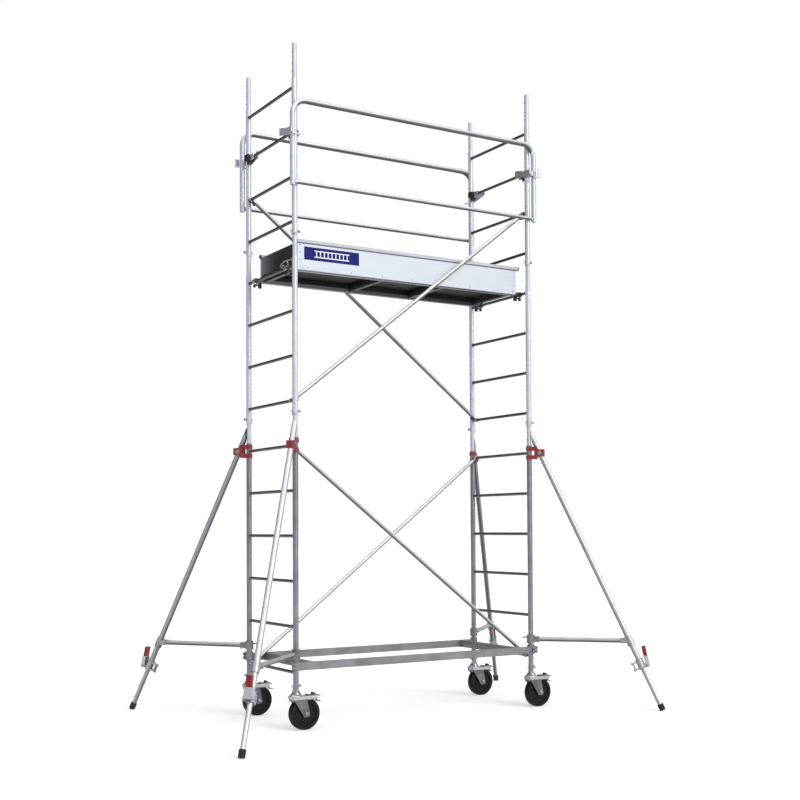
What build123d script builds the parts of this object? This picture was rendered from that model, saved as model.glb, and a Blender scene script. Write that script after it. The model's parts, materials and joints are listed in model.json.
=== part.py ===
from build123d import *
import math
import os

# Mobile tower scaffold. Millimetres, +Z up, +X along the bay, front side at -Y.
# The origin is on the ground in the middle of the four posts.

# ---- driving dimensions -------------------------------------------------
BAY_LENGTH = 1800.0
TOWER_WIDTH = 688.0
RUNG_PITCH = 279.0
FIRST_RUNG_Z = 351.0

POST_R = 17.5
TUBE_WALL = 2.0
SPIGOT_R = 15.0
SPIGOT_INSERT_R = 15.2
STEM_R = 14.9
RUNG_R = 10.0
RUNG_WALL = 1.5
WELD_GAP = 0.02

# rung numbers of the three frame levels, counted from the lowest rung
FRAME_LEVELS = {"lower": (0, 5), "middle": (6, 9), "upper": (10, 13)}
LOWEST_POST_END_Z = 250.0
POST_ABOVE_RUNG = 53.0
SPIGOT_ABOVE_RUNG = 270.0
SPIGOT_INSIDE = 150.0
UPPER_POST_ABOVE_RUNG = 190.0
PIN_ABOVE_POST_END = 22.0
SPARE_HOLES_ABOVE_RUNG = (92.0, 145.0)

PIN_R = 4.0
PIN_HOLE_R = 4.1
PIN_REACH = 30.0
KNOB_START = 24.0
KNOB_END = 36.0
KNOB_R = 8.0
BAIL_WIRE_R = 1.5
BAIL_REACH = 21.5
BAIL_DROP = 26.0

WHEEL_R = 100.0
WHEEL_WIDTH = 46.0
WHEEL_TRAIL = 55.0
WHEEL_DISH_R = 74.0
HUB_R = 22.0
HUB_HALF_LENGTH = 28.6
FORK_PLATE_Z = 204.0
FORK_INNER_Y = 29.0
FORK_OUTER_Y = 33.0
COLLAR_R = 22.0
COLLAR_BOTTOM_Z = 232.0
COLLAR_TOP_Z = 242.0
STEM_TOP_Z = 400.0
AXLE_R = 8.0
RUNNING_GAP = 0.05
SWIVEL_GAP = 0.4

BASE_BEAM_Z = 388.0
BASE_BEAM_HEIGHT = 48.0
BASE_BEAM_DEPTH = 30.0
BASE_CROSS_X = 785.0
BASE_SLEEVE_R = 25.0
BASE_SLEEVE_BOTTOM_Z = 364.0
BASE_SLEEVE_TOP_Z = 424.0

BRACE_R = 12.5
BRACE_FROM_POST = 48.0
CLAW_OUT_R = 17.0
CLAW_IN_R = 10.4
CLAW_WIDTH = 24.0
SHANK_WIDTH = 22.0
SHANK_THICKNESS = 9.0
BRACE_SHORTENING = 42.0
# each brace: side (front -1 or back 1), rung on the left frame, rung on the right frame
BRACES = ((-1, 6, 11), (-1, 5, 0), (1, 11, 6), (1, 0, 5))

GUARD_R = 17.0
GUARD_LEG_X = 930.0
GUARD_LEG_Y = 379.0
GUARD_TOP_Z = 3885.0
GUARD_MID_Z = 3372.0
GUARD_FOOT_Z = 3350.0
GUARD_BEND_R = 90.0
GUARD_MID_R = 12.5
GUARD_HOOK_RUNG = 12
LIP_FROM_RUNG = 12.0
BRACKET_THICKNESS = 4.0

DECK_RUNG = 9
PLATFORM_END = 847.0
BEAM_BOTTOM_Z = 2853.0
BEAM_HEIGHT = 50.0
BEAM_WIDTH = 34.0
BEAM_OUTER_Y = 255.0
DECK_THICKNESS = 12.0
DECK_HALF_WIDTH = 253.0
HATCH_LEFT = -831.0
HATCH_RIGHT = -231.0
HATCH_HALF_WIDTH = 245.0
HINGE_X = (-732.0, -332.0)
HINGE_R = 4.5
HINGE_PIN_R = 2.5
PLATFORM_HOOK_Y = 238.0
HOOK_OUT_R = 19.0
RELEASE_TAB_Y = 135.0

TOE_BOTTOM_Z = 2858.0
TOE_TOP_Z = 3028.0
TOE_INNER_Y = 256.0
TOE_OUTER_Y = 274.0
TOE_WALL = 2.0
TOE_BEAD_R = 13.0
TOE_BEAD_Y = 267.0
TOE_BEAD_Z = 3036.0
TOE_BEAD_LEFT = -849.0
TOE_BEAD_RIGHT = 869.0
END_BOARD_THICKNESS = 12.0
END_BOARD_BOTTOM_Z = 2905.0

OUTRIGGER_TOP_Z = 1880.0
OUTRIGGER_TOP_OFFSET = 10.0
OUTRIGGER_R = 17.5
RED_CLAMP_R = 22.8
QUICK_CLAMP_Z = 310.0
SLEEVE_R = 24.0
SLEEVE_HALF_LENGTH = 34.0
LEVER_OFFSET = 38.0
LEVER_DOWN = 24.0
LEVER_LEAN = 12.0
LEVER_ARM = 66.0
LEVER_WIDTH = 50.0
LEVER_DEPTH = 24.0
LEVER_SHEET = 3.0
LEVER_BELOW_PIVOT = 12.0
LEVER_PIN_R = 4.0
LEVER_LUG_R = 9.0
LEVER_GRIP = 64.0
GRIP_WIDTH = 38.0
GRIP_DEPTH = 26.0
FOOT_LENGTH = 44.0
FOOT_R = 20.0
FOOT_SOLE = 12.0
LEG_HIDDEN_TOP_Z = 700.0
LEG_R = 15.0
STAY_R = 15.0
STAY_Z = 465.0
STAY_BOLT_X = 44.0
STAY_BOLT_R = 6.0
HANG_RING_RADIUS = 16.0
HANG_RING_WIRE_R = 1.6
POST_CLAMP_IN_R = 17.8
POST_CLAMP_OUT_R = 27.0
MAIN_TUBE_END_Z = 288.0

# direction of each outrigger about its post (degrees) and how far its foot stands out
OUTRIGGERS = {
    "front_left": (225.5, 945.0),
    "front_right": (314.1, 888.0),
    "back_left": (127.5, 912.0),
    "back_right": (43.9, 893.0),
}
CORNERS = {
    "front_left": (-1, -1),
    "front_right": (1, -1),
    "back_left": (-1, 1),
    "back_right": (1, 1),
}

HALF_BAY = BAY_LENGTH / 2
HALF_WIDTH = TOWER_WIDTH / 2
DECK_UNDER_Z = BEAM_BOTTOM_Z + BEAM_HEIGHT
DECK_TOP_Z = DECK_UNDER_Z + DECK_THICKNESS
HINGE_Y = HATCH_HALF_WIDTH + 5
HINGE_Z = DECK_TOP_Z + 3


# ---- small building blocks ----------------------------------------------
def rod(start, end, radius):
    """Solid round bar between two points."""
    first = Vector(*start)
    run = Vector(*end) - first
    return Solid.make_cylinder(radius, run.length, Plane(origin=first, z_dir=run))


def tube(start, end, radius, wall):
    """Round tube with open ends between two points."""
    return rod(start, end, radius) - rod(start, end, radius - wall)


def block(x_range, y_range, z_range):
    """Rectangular block given by its low and high side along each axis."""
    size = [high - low for low, high in (x_range, y_range, z_range)]
    middle = [(high + low) / 2 for low, high in (x_range, y_range, z_range)]
    return Pos(*middle) * Solid.make_box(*size, Plane(origin=(-size[0] / 2, -size[1] / 2, -size[2] / 2)))


def side_plate(points, y_low, y_high):
    """Flat plate with an outline in the XZ plane, between two Y values."""
    face = make_face(Polyline(*[(x, 0, z) for x, z in points], close=True))
    plate = extrude(face, y_high - y_low, dir=(0, 1, 0))
    return (Pos(0, y_low, 0) * plate).solid()


def end_plate(points, x_low, x_high):
    """Flat plate drawn in the YZ plane and extruded along X."""
    sketch = Plane.YZ.offset(x_low) * Polygon(*points, align=None)
    return extrude(sketch, x_high - x_low)


def both_sides(shape):
    """The shape and its mirror image across the XZ plane."""
    return [shape, mirror(shape, Plane.XZ)]


def rung_z(number):
    """Height of a rung's axis, counted from the lowest rung."""
    return FIRST_RUNG_Z + number * RUNG_PITCH


def joined(*shapes):
    """One solid made of overlapping pieces."""
    whole = shapes[0]
    for shape in shapes[1:]:
        whole = whole + shape
    return whole.solid()


def solids_of(shape):
    """Every solid in a shape or a nested list of shapes."""
    if isinstance(shape, (list, tuple)):
        return [solid for item in shape for solid in solids_of(item)]
    return list(shape.solids())


def save(name, *shapes):
    """Write one node, a single solid or a group of separate solids."""
    solids = solids_of(list(shapes))
    export_step(solids[0] if len(solids) == 1 else Compound(solids), f"parts/{name}.step")


# ---- end frames, spigots and locking pins -------------------------------
def post_ends(level):
    """Lower and upper end of a frame's posts."""
    first, last = FRAME_LEVELS[level]
    top = rung_z(last) + POST_ABOVE_RUNG
    if level == "lower":
        return LOWEST_POST_END_Z, top
    return rung_z(first - 1) + UPPER_POST_ABOVE_RUNG, top


def post(x, y, bottom, top):
    """Post tube with the cross hole for its locking pin."""
    pin_z = bottom + PIN_ABOVE_POST_END
    hole = rod((x - PIN_REACH, y, pin_z), (x + PIN_REACH, y, pin_z), PIN_HOLE_R)
    return tube((x, y, bottom), (x, y, top), POST_R, TUBE_WALL) - hole


def rung(x, z):
    """Rung tube with its ends shaped to the posts."""
    shape = tube((x, -HALF_WIDTH, z), (x, HALF_WIDTH, z), RUNG_R, RUNG_WALL)
    for y in (-HALF_WIDTH, HALF_WIDTH):
        shape = shape - rod((x, y, z - 20), (x, y, z + 20), POST_R + WELD_GAP)
    return shape


def end_frame(side, level):
    """Two posts and the rungs between them."""
    x = side * HALF_BAY
    bottom, top = post_ends(level)
    first, last = FRAME_LEVELS[level]
    posts = [post(x, y, bottom, top) for y in (-HALF_WIDTH, HALF_WIDTH)]
    rungs = [rung(x, rung_z(number)) for number in range(first, last + 1)]
    return posts + rungs


def spigot(x, y, level):
    """Thinner tube that stands out of a post's top, with three cross holes."""
    top_rung = rung_z(FRAME_LEVELS[level][1])
    start = top_rung + POST_ABOVE_RUNG - SPIGOT_INSIDE
    shoulder = top_rung + POST_ABOVE_RUNG + 2
    shape = tube((x, y, start), (x, y, shoulder), SPIGOT_INSERT_R, TUBE_WALL)
    shape = shape + tube((x, y, shoulder), (x, y, top_rung + SPIGOT_ABOVE_RUNG), SPIGOT_R, TUBE_WALL)
    for height in (*SPARE_HOLES_ABOVE_RUNG, UPPER_POST_ABOVE_RUNG + PIN_ABOVE_POST_END):
        z = top_rung + height
        shape = shape - rod((x - PIN_REACH, y, z), (x + PIN_REACH, y, z), PIN_HOLE_R)
    return shape


def pin_places():
    """Middle and turn of every locking pin: frame joints and caster stems."""
    places = []
    for side_x, side_y in CORNERS.values():
        for level in FRAME_LEVELS:
            z = post_ends(level)[0] + PIN_ABOVE_POST_END
            turn = 0 if side_y < 0 else 180
            places.append(Pos(side_x * HALF_BAY, side_y * HALF_WIDTH, z) * Rot(0, 0, turn))
    return places


def locking_pin():
    """Pin along X with a wire bail that slopes down round the front of the post."""
    across = Vector(-2 * BAIL_REACH, 0, -BAIL_DROP)
    arc_plane = Plane(origin=(0, 0, -BAIL_DROP / 2), x_dir=across, z_dir=across.cross(Vector(0, -1, 0)))
    bail = Solid.make_torus(across.length / 2, BAIL_WIRE_R, arc_plane, major_angle=180)
    riser = rod((-BAIL_REACH, 0, -BAIL_DROP), (-BAIL_REACH, 0, 0), BAIL_WIRE_R)
    return joined(rod((-PIN_REACH, 0, 0), (KNOB_START, 0, 0), PIN_R), bail, riser)


def pin_knob():
    """Round knob on the end of a locking pin."""
    knob = rod((KNOB_START, 0, 0), (KNOB_END, 0, 0), KNOB_R)
    return fillet(knob.edges().filter_by(GeomType.CIRCLE), 2).solid()


# ---- casters ------------------------------------------------------------
def caster_stem():
    """Stem that fits in a post, with its collar and king pin."""
    shape = joined(
        rod((0, 0, COLLAR_BOTTOM_Z + 8), (0, 0, STEM_TOP_Z), STEM_R),
        rod((0, 0, COLLAR_BOTTOM_Z), (0, 0, COLLAR_TOP_Z), COLLAR_R),
        rod((0, 0, FORK_PLATE_Z + 2), (0, 0, COLLAR_BOTTOM_Z + 2), AXLE_R),
    )
    pin_z = LOWEST_POST_END_Z + PIN_ABOVE_POST_END
    return shape - rod((-PIN_REACH, 0, pin_z), (PIN_REACH, 0, pin_z), PIN_HOLE_R)


def swivel_head():
    """Domed head with the flat top plate and the folded front web of the fork."""
    dome_top = COLLAR_BOTTOM_Z - SWIVEL_GAP
    dome_outline = [(0, 208), (44, 208), (40, 214), (30, 221), (26, dome_top), (0, dome_top)]
    face = make_face(Polyline(*[(x, 0, z) for x, z in dome_outline], close=True))
    dome = revolve(face, Axis.Z)
    plate = block((-8, 136), (-31, 31), (FORK_PLATE_Z, 208))
    front = rod((-8, 0, FORK_PLATE_Z), (-8, 0, 208), 31)
    disc = rod((0, 0, FORK_PLATE_Z), (0, 0, 209), 40)
    web_outline = [(-42, 208), (-42, 202), (-29, 174), (-25, 176), (-37, FORK_PLATE_Z), (-37, 208)]
    web = side_plate(web_outline, -FORK_INNER_Y, FORK_INNER_Y)
    bore = rod((0, 0, 200), (0, 0, 240), AXLE_R + RUNNING_GAP)
    return joined(dome, plate, front, disc, web) - bore


def fork_leg():
    """Side leg of the fork, wide at the top and narrow at the axle."""
    outline = [
        (-38, FORK_PLATE_Z), (-30, 190), (30, 98), (38, 80), (74, 80),
        (81, 96), (62, 182), (126, 186), (140, FORK_PLATE_Z),
    ]
    leg = side_plate(outline, FORK_INNER_Y, FORK_OUTER_Y)
    return leg - rod((WHEEL_TRAIL, 20, WHEEL_R), (WHEEL_TRAIL, 40, WHEEL_R), AXLE_R + RUNNING_GAP)


def axle_bolt():
    """Axle with a hexagon head and nut."""
    shaft = rod((WHEEL_TRAIL, -38, WHEEL_R), (WHEEL_TRAIL, 38, WHEEL_R), AXLE_R)
    hexagon = Plane(origin=(WHEEL_TRAIL, 33.2, WHEEL_R), z_dir=(0, 1, 0)) * RegularPolygon(12, 6)
    head = extrude(hexagon, 7)
    return joined(shaft, head, mirror(head, Plane.XZ))


def wheel():
    """Solid wheel with rounded tread and hub bosses, on a plain bore."""
    half = WHEEL_WIDTH / 2
    rim = rod((0, -half, 0), (0, half, 0), WHEEL_R)
    rim = fillet(rim.edges().filter_by(GeomType.CIRCLE), 9)
    for side in (-1, 1):
        dish = rod((0, side * (half - 7), 0), (0, side * (half + 1), 0), WHEEL_DISH_R)
        core = rod((0, side * (half - 8), 0), (0, side * (half + 2), 0), 30)
        rim = rim - (dish - core)
    boss = rod((0, -HUB_HALF_LENGTH, 0), (0, HUB_HALF_LENGTH, 0), HUB_R)
    bore = rod((0, -40, 0), (0, 40, 0), AXLE_R + RUNNING_GAP)
    return Pos(WHEEL_TRAIL, 0, WHEEL_R) * ((rim + boss) - bore).solid()


def brake_pedal():
    """Brake lever on the trailing side, with a raised foot pad and a release tab."""
    plate = block((76, 146), (-24, 24), (209, 212))
    tip = side_plate([(144, 212), (158, 203), (156, 200), (144, 209)], -24, 24)
    pad = side_plate([(108, 211), (132, 211), (122, 224), (112, 227)], -15, 15)
    hinge = rod((77, -26, 212), (77, 26, 212), 4)
    web = block((138, 142), (-10, 10), (172, 210))
    tab = side_plate([(138, 176), (138, 170), (164, 166), (164, 171)], -14, 14)
    return joined(plate, tip, pad, hinge, web, tab)


# ---- base frame ---------------------------------------------------------
def box_beam(start, end, height, depth, wall):
    """Rectangular tube lying along X or Y between two points."""
    along_x = abs(end[0] - start[0]) > abs(end[1] - start[1])
    spans = []
    for inset in (0, wall):
        z_range = (start[2] - height / 2 + inset, start[2] + height / 2 - inset)
        across = (-depth / 2 + inset, depth / 2 - inset)
        if along_x:
            spans.append(block((start[0], end[0]), (start[1] + across[0], start[1] + across[1]), z_range))
        else:
            spans.append(block((start[0] + across[0], start[0] + across[1]), (start[1], end[1]), z_range))
    return spans[0] - spans[1]


def base_frame():
    """Two long beams, two cross beams and a sleeve round each post."""
    pieces = []
    for side in (-1, 1):
        y = side * HALF_WIDTH
        long_end = HALF_BAY - BASE_SLEEVE_R + 3
        pieces.append(box_beam((-long_end, y, BASE_BEAM_Z), (long_end, y, BASE_BEAM_Z),
                               BASE_BEAM_HEIGHT, BASE_BEAM_DEPTH, TUBE_WALL))
        x = side * BASE_CROSS_X
        cross_end = HALF_WIDTH - BASE_BEAM_DEPTH / 2
        pieces.append(box_beam((x, -cross_end, BASE_BEAM_Z), (x, cross_end, BASE_BEAM_Z),
                               BASE_BEAM_HEIGHT, BASE_BEAM_DEPTH, TUBE_WALL))
    for index, beam in enumerate(pieces):
        for side_x, side_y in CORNERS.values():
            x, y = side_x * HALF_BAY, side_y * HALF_WIDTH
            beam = beam - rod((x, y, 350), (x, y, 430), BASE_SLEEVE_R + WELD_GAP)
        pieces[index] = beam
    for side_x, side_y in CORNERS.values():
        place = Pos(side_x * HALF_BAY, side_y * HALF_WIDTH, 0)
        pieces.append((place * mirrored(post_sleeve(), side_x, side_y)).solid())
    return pieces


def post_sleeve():
    """Sleeve that carries the base beams on a post, with its clamp lug and bolts."""
    ring = rod((0, 0, BASE_SLEEVE_BOTTOM_Z), (0, 0, BASE_SLEEVE_TOP_Z), BASE_SLEEVE_R)
    lug = block((0, 24), (22, 40), (370, 418))
    bolts = [rod((-8, 32, z), (32, 32, z), 5) for z in (382, 406)]
    return joined(ring, lug, *bolts) - rod((0, 0, 360), (0, 0, 430), POST_R + WELD_GAP)


# ---- diagonal braces ----------------------------------------------------
def brace_line(side, left_rung, right_rung):
    """The two rung points that a brace hooks on, and its direction."""
    y = side * (HALF_WIDTH - BRACE_FROM_POST)
    left = Vector(-HALF_BAY, y, rung_z(left_rung))
    right = Vector(HALF_BAY, y, rung_z(right_rung))
    return left, right, (right - left).normalized()


def claw(point, inward):
    """Hook over a rung with a flat shank towards the brace."""
    half = CLAW_WIDTH / 2
    centre = (point.X, 0, point.Z)
    ring = tube((centre[0], point.Y - half, centre[2]), (centre[0], point.Y + half, centre[2]),
                CLAW_OUT_R, CLAW_OUT_R - CLAW_IN_R)
    mouth = block((centre[0] - CLAW_IN_R, centre[0] + CLAW_IN_R), (point.Y - 20, point.Y + 20),
                  (centre[2] - 30, centre[2]))
    shank_plane = Plane(origin=point + inward * 12, x_dir=(0, 1, 0), z_dir=inward)
    shank = extrude(shank_plane * Rectangle(SHANK_WIDTH, SHANK_THICKNESS), 34)
    return (ring - mouth) + shank


def brace(side, left_rung, right_rung):
    """Diagonal tube with a claw at each end."""
    left, right, along = brace_line(side, left_rung, right_rung)
    start, end = left + along * BRACE_SHORTENING, right - along * BRACE_SHORTENING
    middle = tube(tuple(start), tuple(end), BRACE_R, RUNG_WALL)
    return (middle + claw(left, along) + claw(right, along * -1)).solid()


def brace_latch(point, inward):
    """Spring latch under a claw that keeps it on its rung."""
    side_x = 1 if inward.X > 0 else -1
    across = Vector(inward.Z * side_x, 0, -inward.X * side_x)
    plane = Plane(origin=point, x_dir=inward, z_dir=Vector(0, 1, 0))
    down = -1 if plane.y_dir.dot(across) < 0 else 1
    body = plane * Pos(31, down * 11, 0) * Box(26, 13, 16)
    trigger = plane * Pos(34, down * 20, 0) * Box(8, 10, 12)
    tongue_x = point.X + side_x * 8
    tongue = block((tongue_x - 17, tongue_x + 17), (point.Y - 7, point.Y + 7), (point.Z - 24, point.Z - 18))
    link = block((point.X + side_x * 22 - 6, point.X + side_x * 22 + 6),
                 (point.Y - 7, point.Y + 7), (point.Z - 24, point.Z - 4))
    shank_plane = Plane(origin=point + inward * 11, x_dir=(0, 1, 0), z_dir=inward)
    room = extrude(shank_plane * Rectangle(CLAW_WIDTH, SHANK_THICKNESS + 0.1), 40)
    ring_room = rod((point.X, point.Y - 20, point.Z), (point.X, point.Y + 20, point.Z), CLAW_OUT_R + 0.1)
    tube_room = rod(tuple(point + inward * 41.9), tuple(point + inward * 80), BRACE_R + 0.1)
    whole = body + trigger + tongue + link
    return (whole - room - ring_room - tube_room).solids().sort_by(SortBy.VOLUME)[-1]


def brace_latches():
    """A latch at both ends of every brace."""
    latches = []
    for side, left_rung, right_rung in BRACES:
        left, right, along = brace_line(side, left_rung, right_rung)
        latches.append(brace_latch(left, along))
        latches.append(brace_latch(right, along * -1))
    return latches


# ---- guardrails ---------------------------------------------------------
def guardrail(side):
    """Bent guardrail frame: legs, bends, top rail, middle rail and hook brackets."""
    y = side * GUARD_LEG_Y
    pieces = []
    bend_z = GUARD_TOP_Z - GUARD_BEND_R
    bend_x = GUARD_LEG_X - GUARD_BEND_R
    wall = TUBE_WALL
    pieces.append(tube((-bend_x, y, GUARD_TOP_Z), (bend_x, y, GUARD_TOP_Z), GUARD_R, wall))
    for side_x in (-1, 1):
        x = side_x * GUARD_LEG_X
        pieces.append(tube((x, y, GUARD_FOOT_Z), (x, y, bend_z), GUARD_R, wall))
        turn = Plane(origin=(side_x * bend_x, y, bend_z), x_dir=(side_x, 0, 0), z_dir=(0, -side_x, 0))
        outer = Solid.make_torus(GUARD_BEND_R, GUARD_R, turn, major_angle=90)
        inner = Solid.make_torus(GUARD_BEND_R, GUARD_R - wall, turn, major_angle=90)
        pieces.append(outer - inner)
    mid = tube((-GUARD_LEG_X, y, GUARD_MID_Z), (GUARD_LEG_X, y, GUARD_MID_Z), GUARD_MID_R, wall)
    for side_x in (-1, 1):
        x = side_x * GUARD_LEG_X
        mid = mid - rod((x, y, GUARD_MID_Z - 30), (x, y, GUARD_MID_Z + 30), GUARD_R + WELD_GAP)
    pieces.append(mid)
    for side_x in (-1, 1):
        pieces.append(mirrored(guard_bracket(side_x == side), side_x, side).solid())
    return pieces


def guard_bracket(outboard):
    """Folded plate for the +X +Y corner that hooks a leg over the rung, from outside or inside."""
    rung_height = rung_z(GUARD_HOOK_RUNG)
    if outboard:
        plate_x = (GUARD_LEG_X + GUARD_R + WELD_GAP, GUARD_LEG_X + GUARD_R + BRACKET_THICKNESS)
        lip_x = (HALF_BAY - LIP_FROM_RUNG - BRACKET_THICKNESS, HALF_BAY - LIP_FROM_RUNG)
        tab_x = (GUARD_LEG_X - 35, plate_x[1])
    else:
        plate_x = (HALF_BAY - POST_R - 0.5 - BRACKET_THICKNESS, HALF_BAY - POST_R - 0.5)
        lip_x = (HALF_BAY + LIP_FROM_RUNG, HALF_BAY + LIP_FROM_RUNG + BRACKET_THICKNESS)
        tab_x = (plate_x[0], GUARD_LEG_X + 35)
    top = RUNG_R + 0.3
    near, far = HALF_WIDTH - 110, GUARD_LEG_Y + 46
    outline = [(far, -42), (far, -34), (GUARD_LEG_Y + 22, -24), (GUARD_LEG_Y + 22, 10), (330, top + 4),
               (near + 25, 34), (near, 34), (near, -9), (330, -30)]
    plate = end_plate([(y, rung_height + z) for y, z in outline], *plate_x)
    across = (min(plate_x[0], lip_x[0]), max(plate_x[1], lip_x[1]))
    web_top = rung_height + top + BRACKET_THICKNESS
    web = block(across, (near, near + 48), (rung_height + top, web_top))
    lip = block(lip_x, (near, near + 48), (rung_height - 22, web_top))
    tab = block(tab_x, (GUARD_LEG_Y + GUARD_R + 1, far), (rung_height - 42, rung_height - 39))
    pieces = [plate, web, lip, tab]
    if not outboard:
        pieces.append(block((plate_x[0], GUARD_LEG_X), (366, 392), (rung_height - 30, rung_height + 6)))
        pieces.append(block((GUARD_LEG_X + 2, GUARD_LEG_X + 32), (far - BRACKET_THICKNESS, far),
                            (rung_height - 42, rung_height + 14)))
    foot = (GUARD_LEG_X, GUARD_LEG_Y, GUARD_FOOT_Z)
    leg = rod(foot, (GUARD_LEG_X, GUARD_LEG_Y, GUARD_TOP_Z), GUARD_R + WELD_GAP)
    return (joined(*pieces) - leg).solid()


def mirrored(shape, side_x, side_y):
    """A shape built for the +X +Y corner, mirrored to another corner."""
    if side_x < 0:
        shape = mirror(shape, Plane.YZ)
    if side_y < 0:
        shape = mirror(shape, Plane.XZ)
    return shape


def guard_latch(outboard):
    """Spring latch for the +X +Y corner, on the other side of the rung than the plate."""
    rung_height = rung_z(GUARD_HOOK_RUNG)
    away = -1 if outboard else 1
    face = HALF_BAY + away * (LIP_FROM_RUNG + 4.3)
    y_range = (HALF_WIDTH - 66, HALF_WIDTH - 20)
    y_middle = (y_range[0] + 10, y_range[1] - 10)
    body = block(sorted((face, face + away * 22)), y_range, (rung_height - 22, rung_height + 16))
    tongue_x = sorted((face + away * 10, HALF_BAY - away * 14))
    tongue = block(tongue_x, y_middle, (rung_height - 30, rung_height - 22))
    trigger_x = sorted((face - away * 18, face + away * 8))
    trigger = block(trigger_x, y_middle, (rung_height - 44, rung_height - 25))
    return joined(body, tongue, trigger)


def guard_latches():
    """The four latches of the guardrails."""
    return [mirrored(guard_latch(side_x == side_y), side_x, side_y).solid()
            for side_x, side_y in CORNERS.values()]


# ---- platform -----------------------------------------------------------
def platform_frame():
    """Side beams, cross members and the four hooks over the rungs."""
    pieces = []
    z_mid = BEAM_BOTTOM_Z + BEAM_HEIGHT / 2
    y = BEAM_OUTER_Y - BEAM_WIDTH / 2
    for side in (-1, 1):
        pieces.append(box_beam((-PLATFORM_END, side * y, z_mid), (PLATFORM_END, side * y, z_mid),
                               BEAM_HEIGHT, BEAM_WIDTH, 3))
    inner_y = BEAM_OUTER_Y - BEAM_WIDTH - WELD_GAP
    for x in (15 - PLATFORM_END, HATCH_RIGHT + 40, 285, PLATFORM_END - 15):
        pieces.append(box_beam((x, -inner_y, z_mid), (x, inner_y, z_mid), BEAM_HEIGHT - 10, 30, 2.5))
    for side_x in (-1, 1):
        for side_y in (-1, 1):
            pieces.append(platform_hook(side_x, side_y))
    return pieces


def platform_hook(side_x, side_y):
    """Claw over a rung, with a plate riveted to the platform's end."""
    rung_height = rung_z(DECK_RUNG)
    y_range = (PLATFORM_HOOK_Y - 16, PLATFORM_HOOK_Y + 16)
    ring = tube((HALF_BAY, y_range[0], rung_height), (HALF_BAY, y_range[1], rung_height),
                HOOK_OUT_R, HOOK_OUT_R - CLAW_IN_R)
    mouth = block((HALF_BAY - CLAW_IN_R, HALF_BAY + CLAW_IN_R), (y_range[0] - 1, y_range[1] + 1),
                  (rung_height - 30, rung_height))
    arm = block((PLATFORM_END + WELD_GAP, HALF_BAY - 12), y_range, (rung_height - 9, rung_height + 15))
    room = rod((HALF_BAY, y_range[0] - 5, rung_height), (HALF_BAY, y_range[1] + 5, rung_height), CLAW_IN_R)
    return mirrored(((ring - mouth) + arm - room).solid(), side_x, side_y).solid()


def platform_latches():
    """Lock under each platform hook that stops the wind lifting it."""
    rung_height = rung_z(DECK_RUNG)
    latches = []
    for side_x, side_y in CORNERS.values():
        y_range = (PLATFORM_HOOK_Y - 10, PLATFORM_HOOK_Y + 10)
        tongue = block((HALF_BAY - 40, HALF_BAY + 12), y_range, (rung_height - 28, rung_height - 20))
        grip = block((HALF_BAY - 40, HALF_BAY - 24), y_range, (rung_height - 44, rung_height - 9.4))
        nose = block((HALF_BAY + 2, HALF_BAY + 12), y_range, (rung_height - 40, rung_height - 24))
        latches.append(mirrored(joined(tongue, grip, nose), side_x, side_y).solid())
    latches.append(block((PLATFORM_END - 6, PLATFORM_END + 8), (RELEASE_TAB_Y - 8, RELEASE_TAB_Y + 8),
                         (BEAM_BOTTOM_Z - 22, BEAM_BOTTOM_Z + 4.9)))
    return latches


def deck_panel():
    """Fixed plywood panel of the deck, beside the hatch."""
    x_range = (HATCH_RIGHT + 3, PLATFORM_END - END_BOARD_THICKNESS - 1)
    return block(x_range, (-DECK_HALF_WIDTH, DECK_HALF_WIDTH), (DECK_UNDER_Z, DECK_TOP_Z))


def trapdoor():
    """Plywood lid with a hinge leaf and knuckle at each hinge."""
    lid = block((HATCH_LEFT, HATCH_RIGHT), (-HATCH_HALF_WIDTH, HATCH_HALF_WIDTH - 2),
                (DECK_UNDER_Z + 0.3, DECK_TOP_Z))
    shape = lid
    for x in HINGE_X:
        leaf = block((x - 15, x + 15), (HINGE_Y - 45, HINGE_Y - 2), (DECK_TOP_Z - 0.5, DECK_TOP_Z + 2.5))
        shape = shape + leaf + rod((x - 15, HINGE_Y, HINGE_Z), (x + 15, HINGE_Y, HINGE_Z), HINGE_R)
    for x in HINGE_X:
        shape = shape - rod((x - 40, HINGE_Y, HINGE_Z), (x + 40, HINGE_Y, HINGE_Z), HINGE_PIN_R + RUNNING_GAP)
    return shape.solid()


def trapdoor_hinges():
    """Fixed knuckles with the pins that the lid turns on."""
    hinges = []
    for x in HINGE_X:
        ends = [rod((x + low, HINGE_Y, HINGE_Z), (x + high, HINGE_Y, HINGE_Z), HINGE_R)
                for low, high in ((-32, -15.4), (15.4, 32))]
        pin = rod((x - 30, HINGE_Y, HINGE_Z), (x + 30, HINGE_Y, HINGE_Z), HINGE_PIN_R)
        feet = [block((x + low, x + high), (HINGE_Y - 3.5, BEAM_OUTER_Y), (DECK_UNDER_Z, HINGE_Z - 1))
                for low, high in ((-32, -15.4), (15.4, 32))]
        hinges.append(joined(pin, *ends, *feet))
    return hinges


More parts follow.
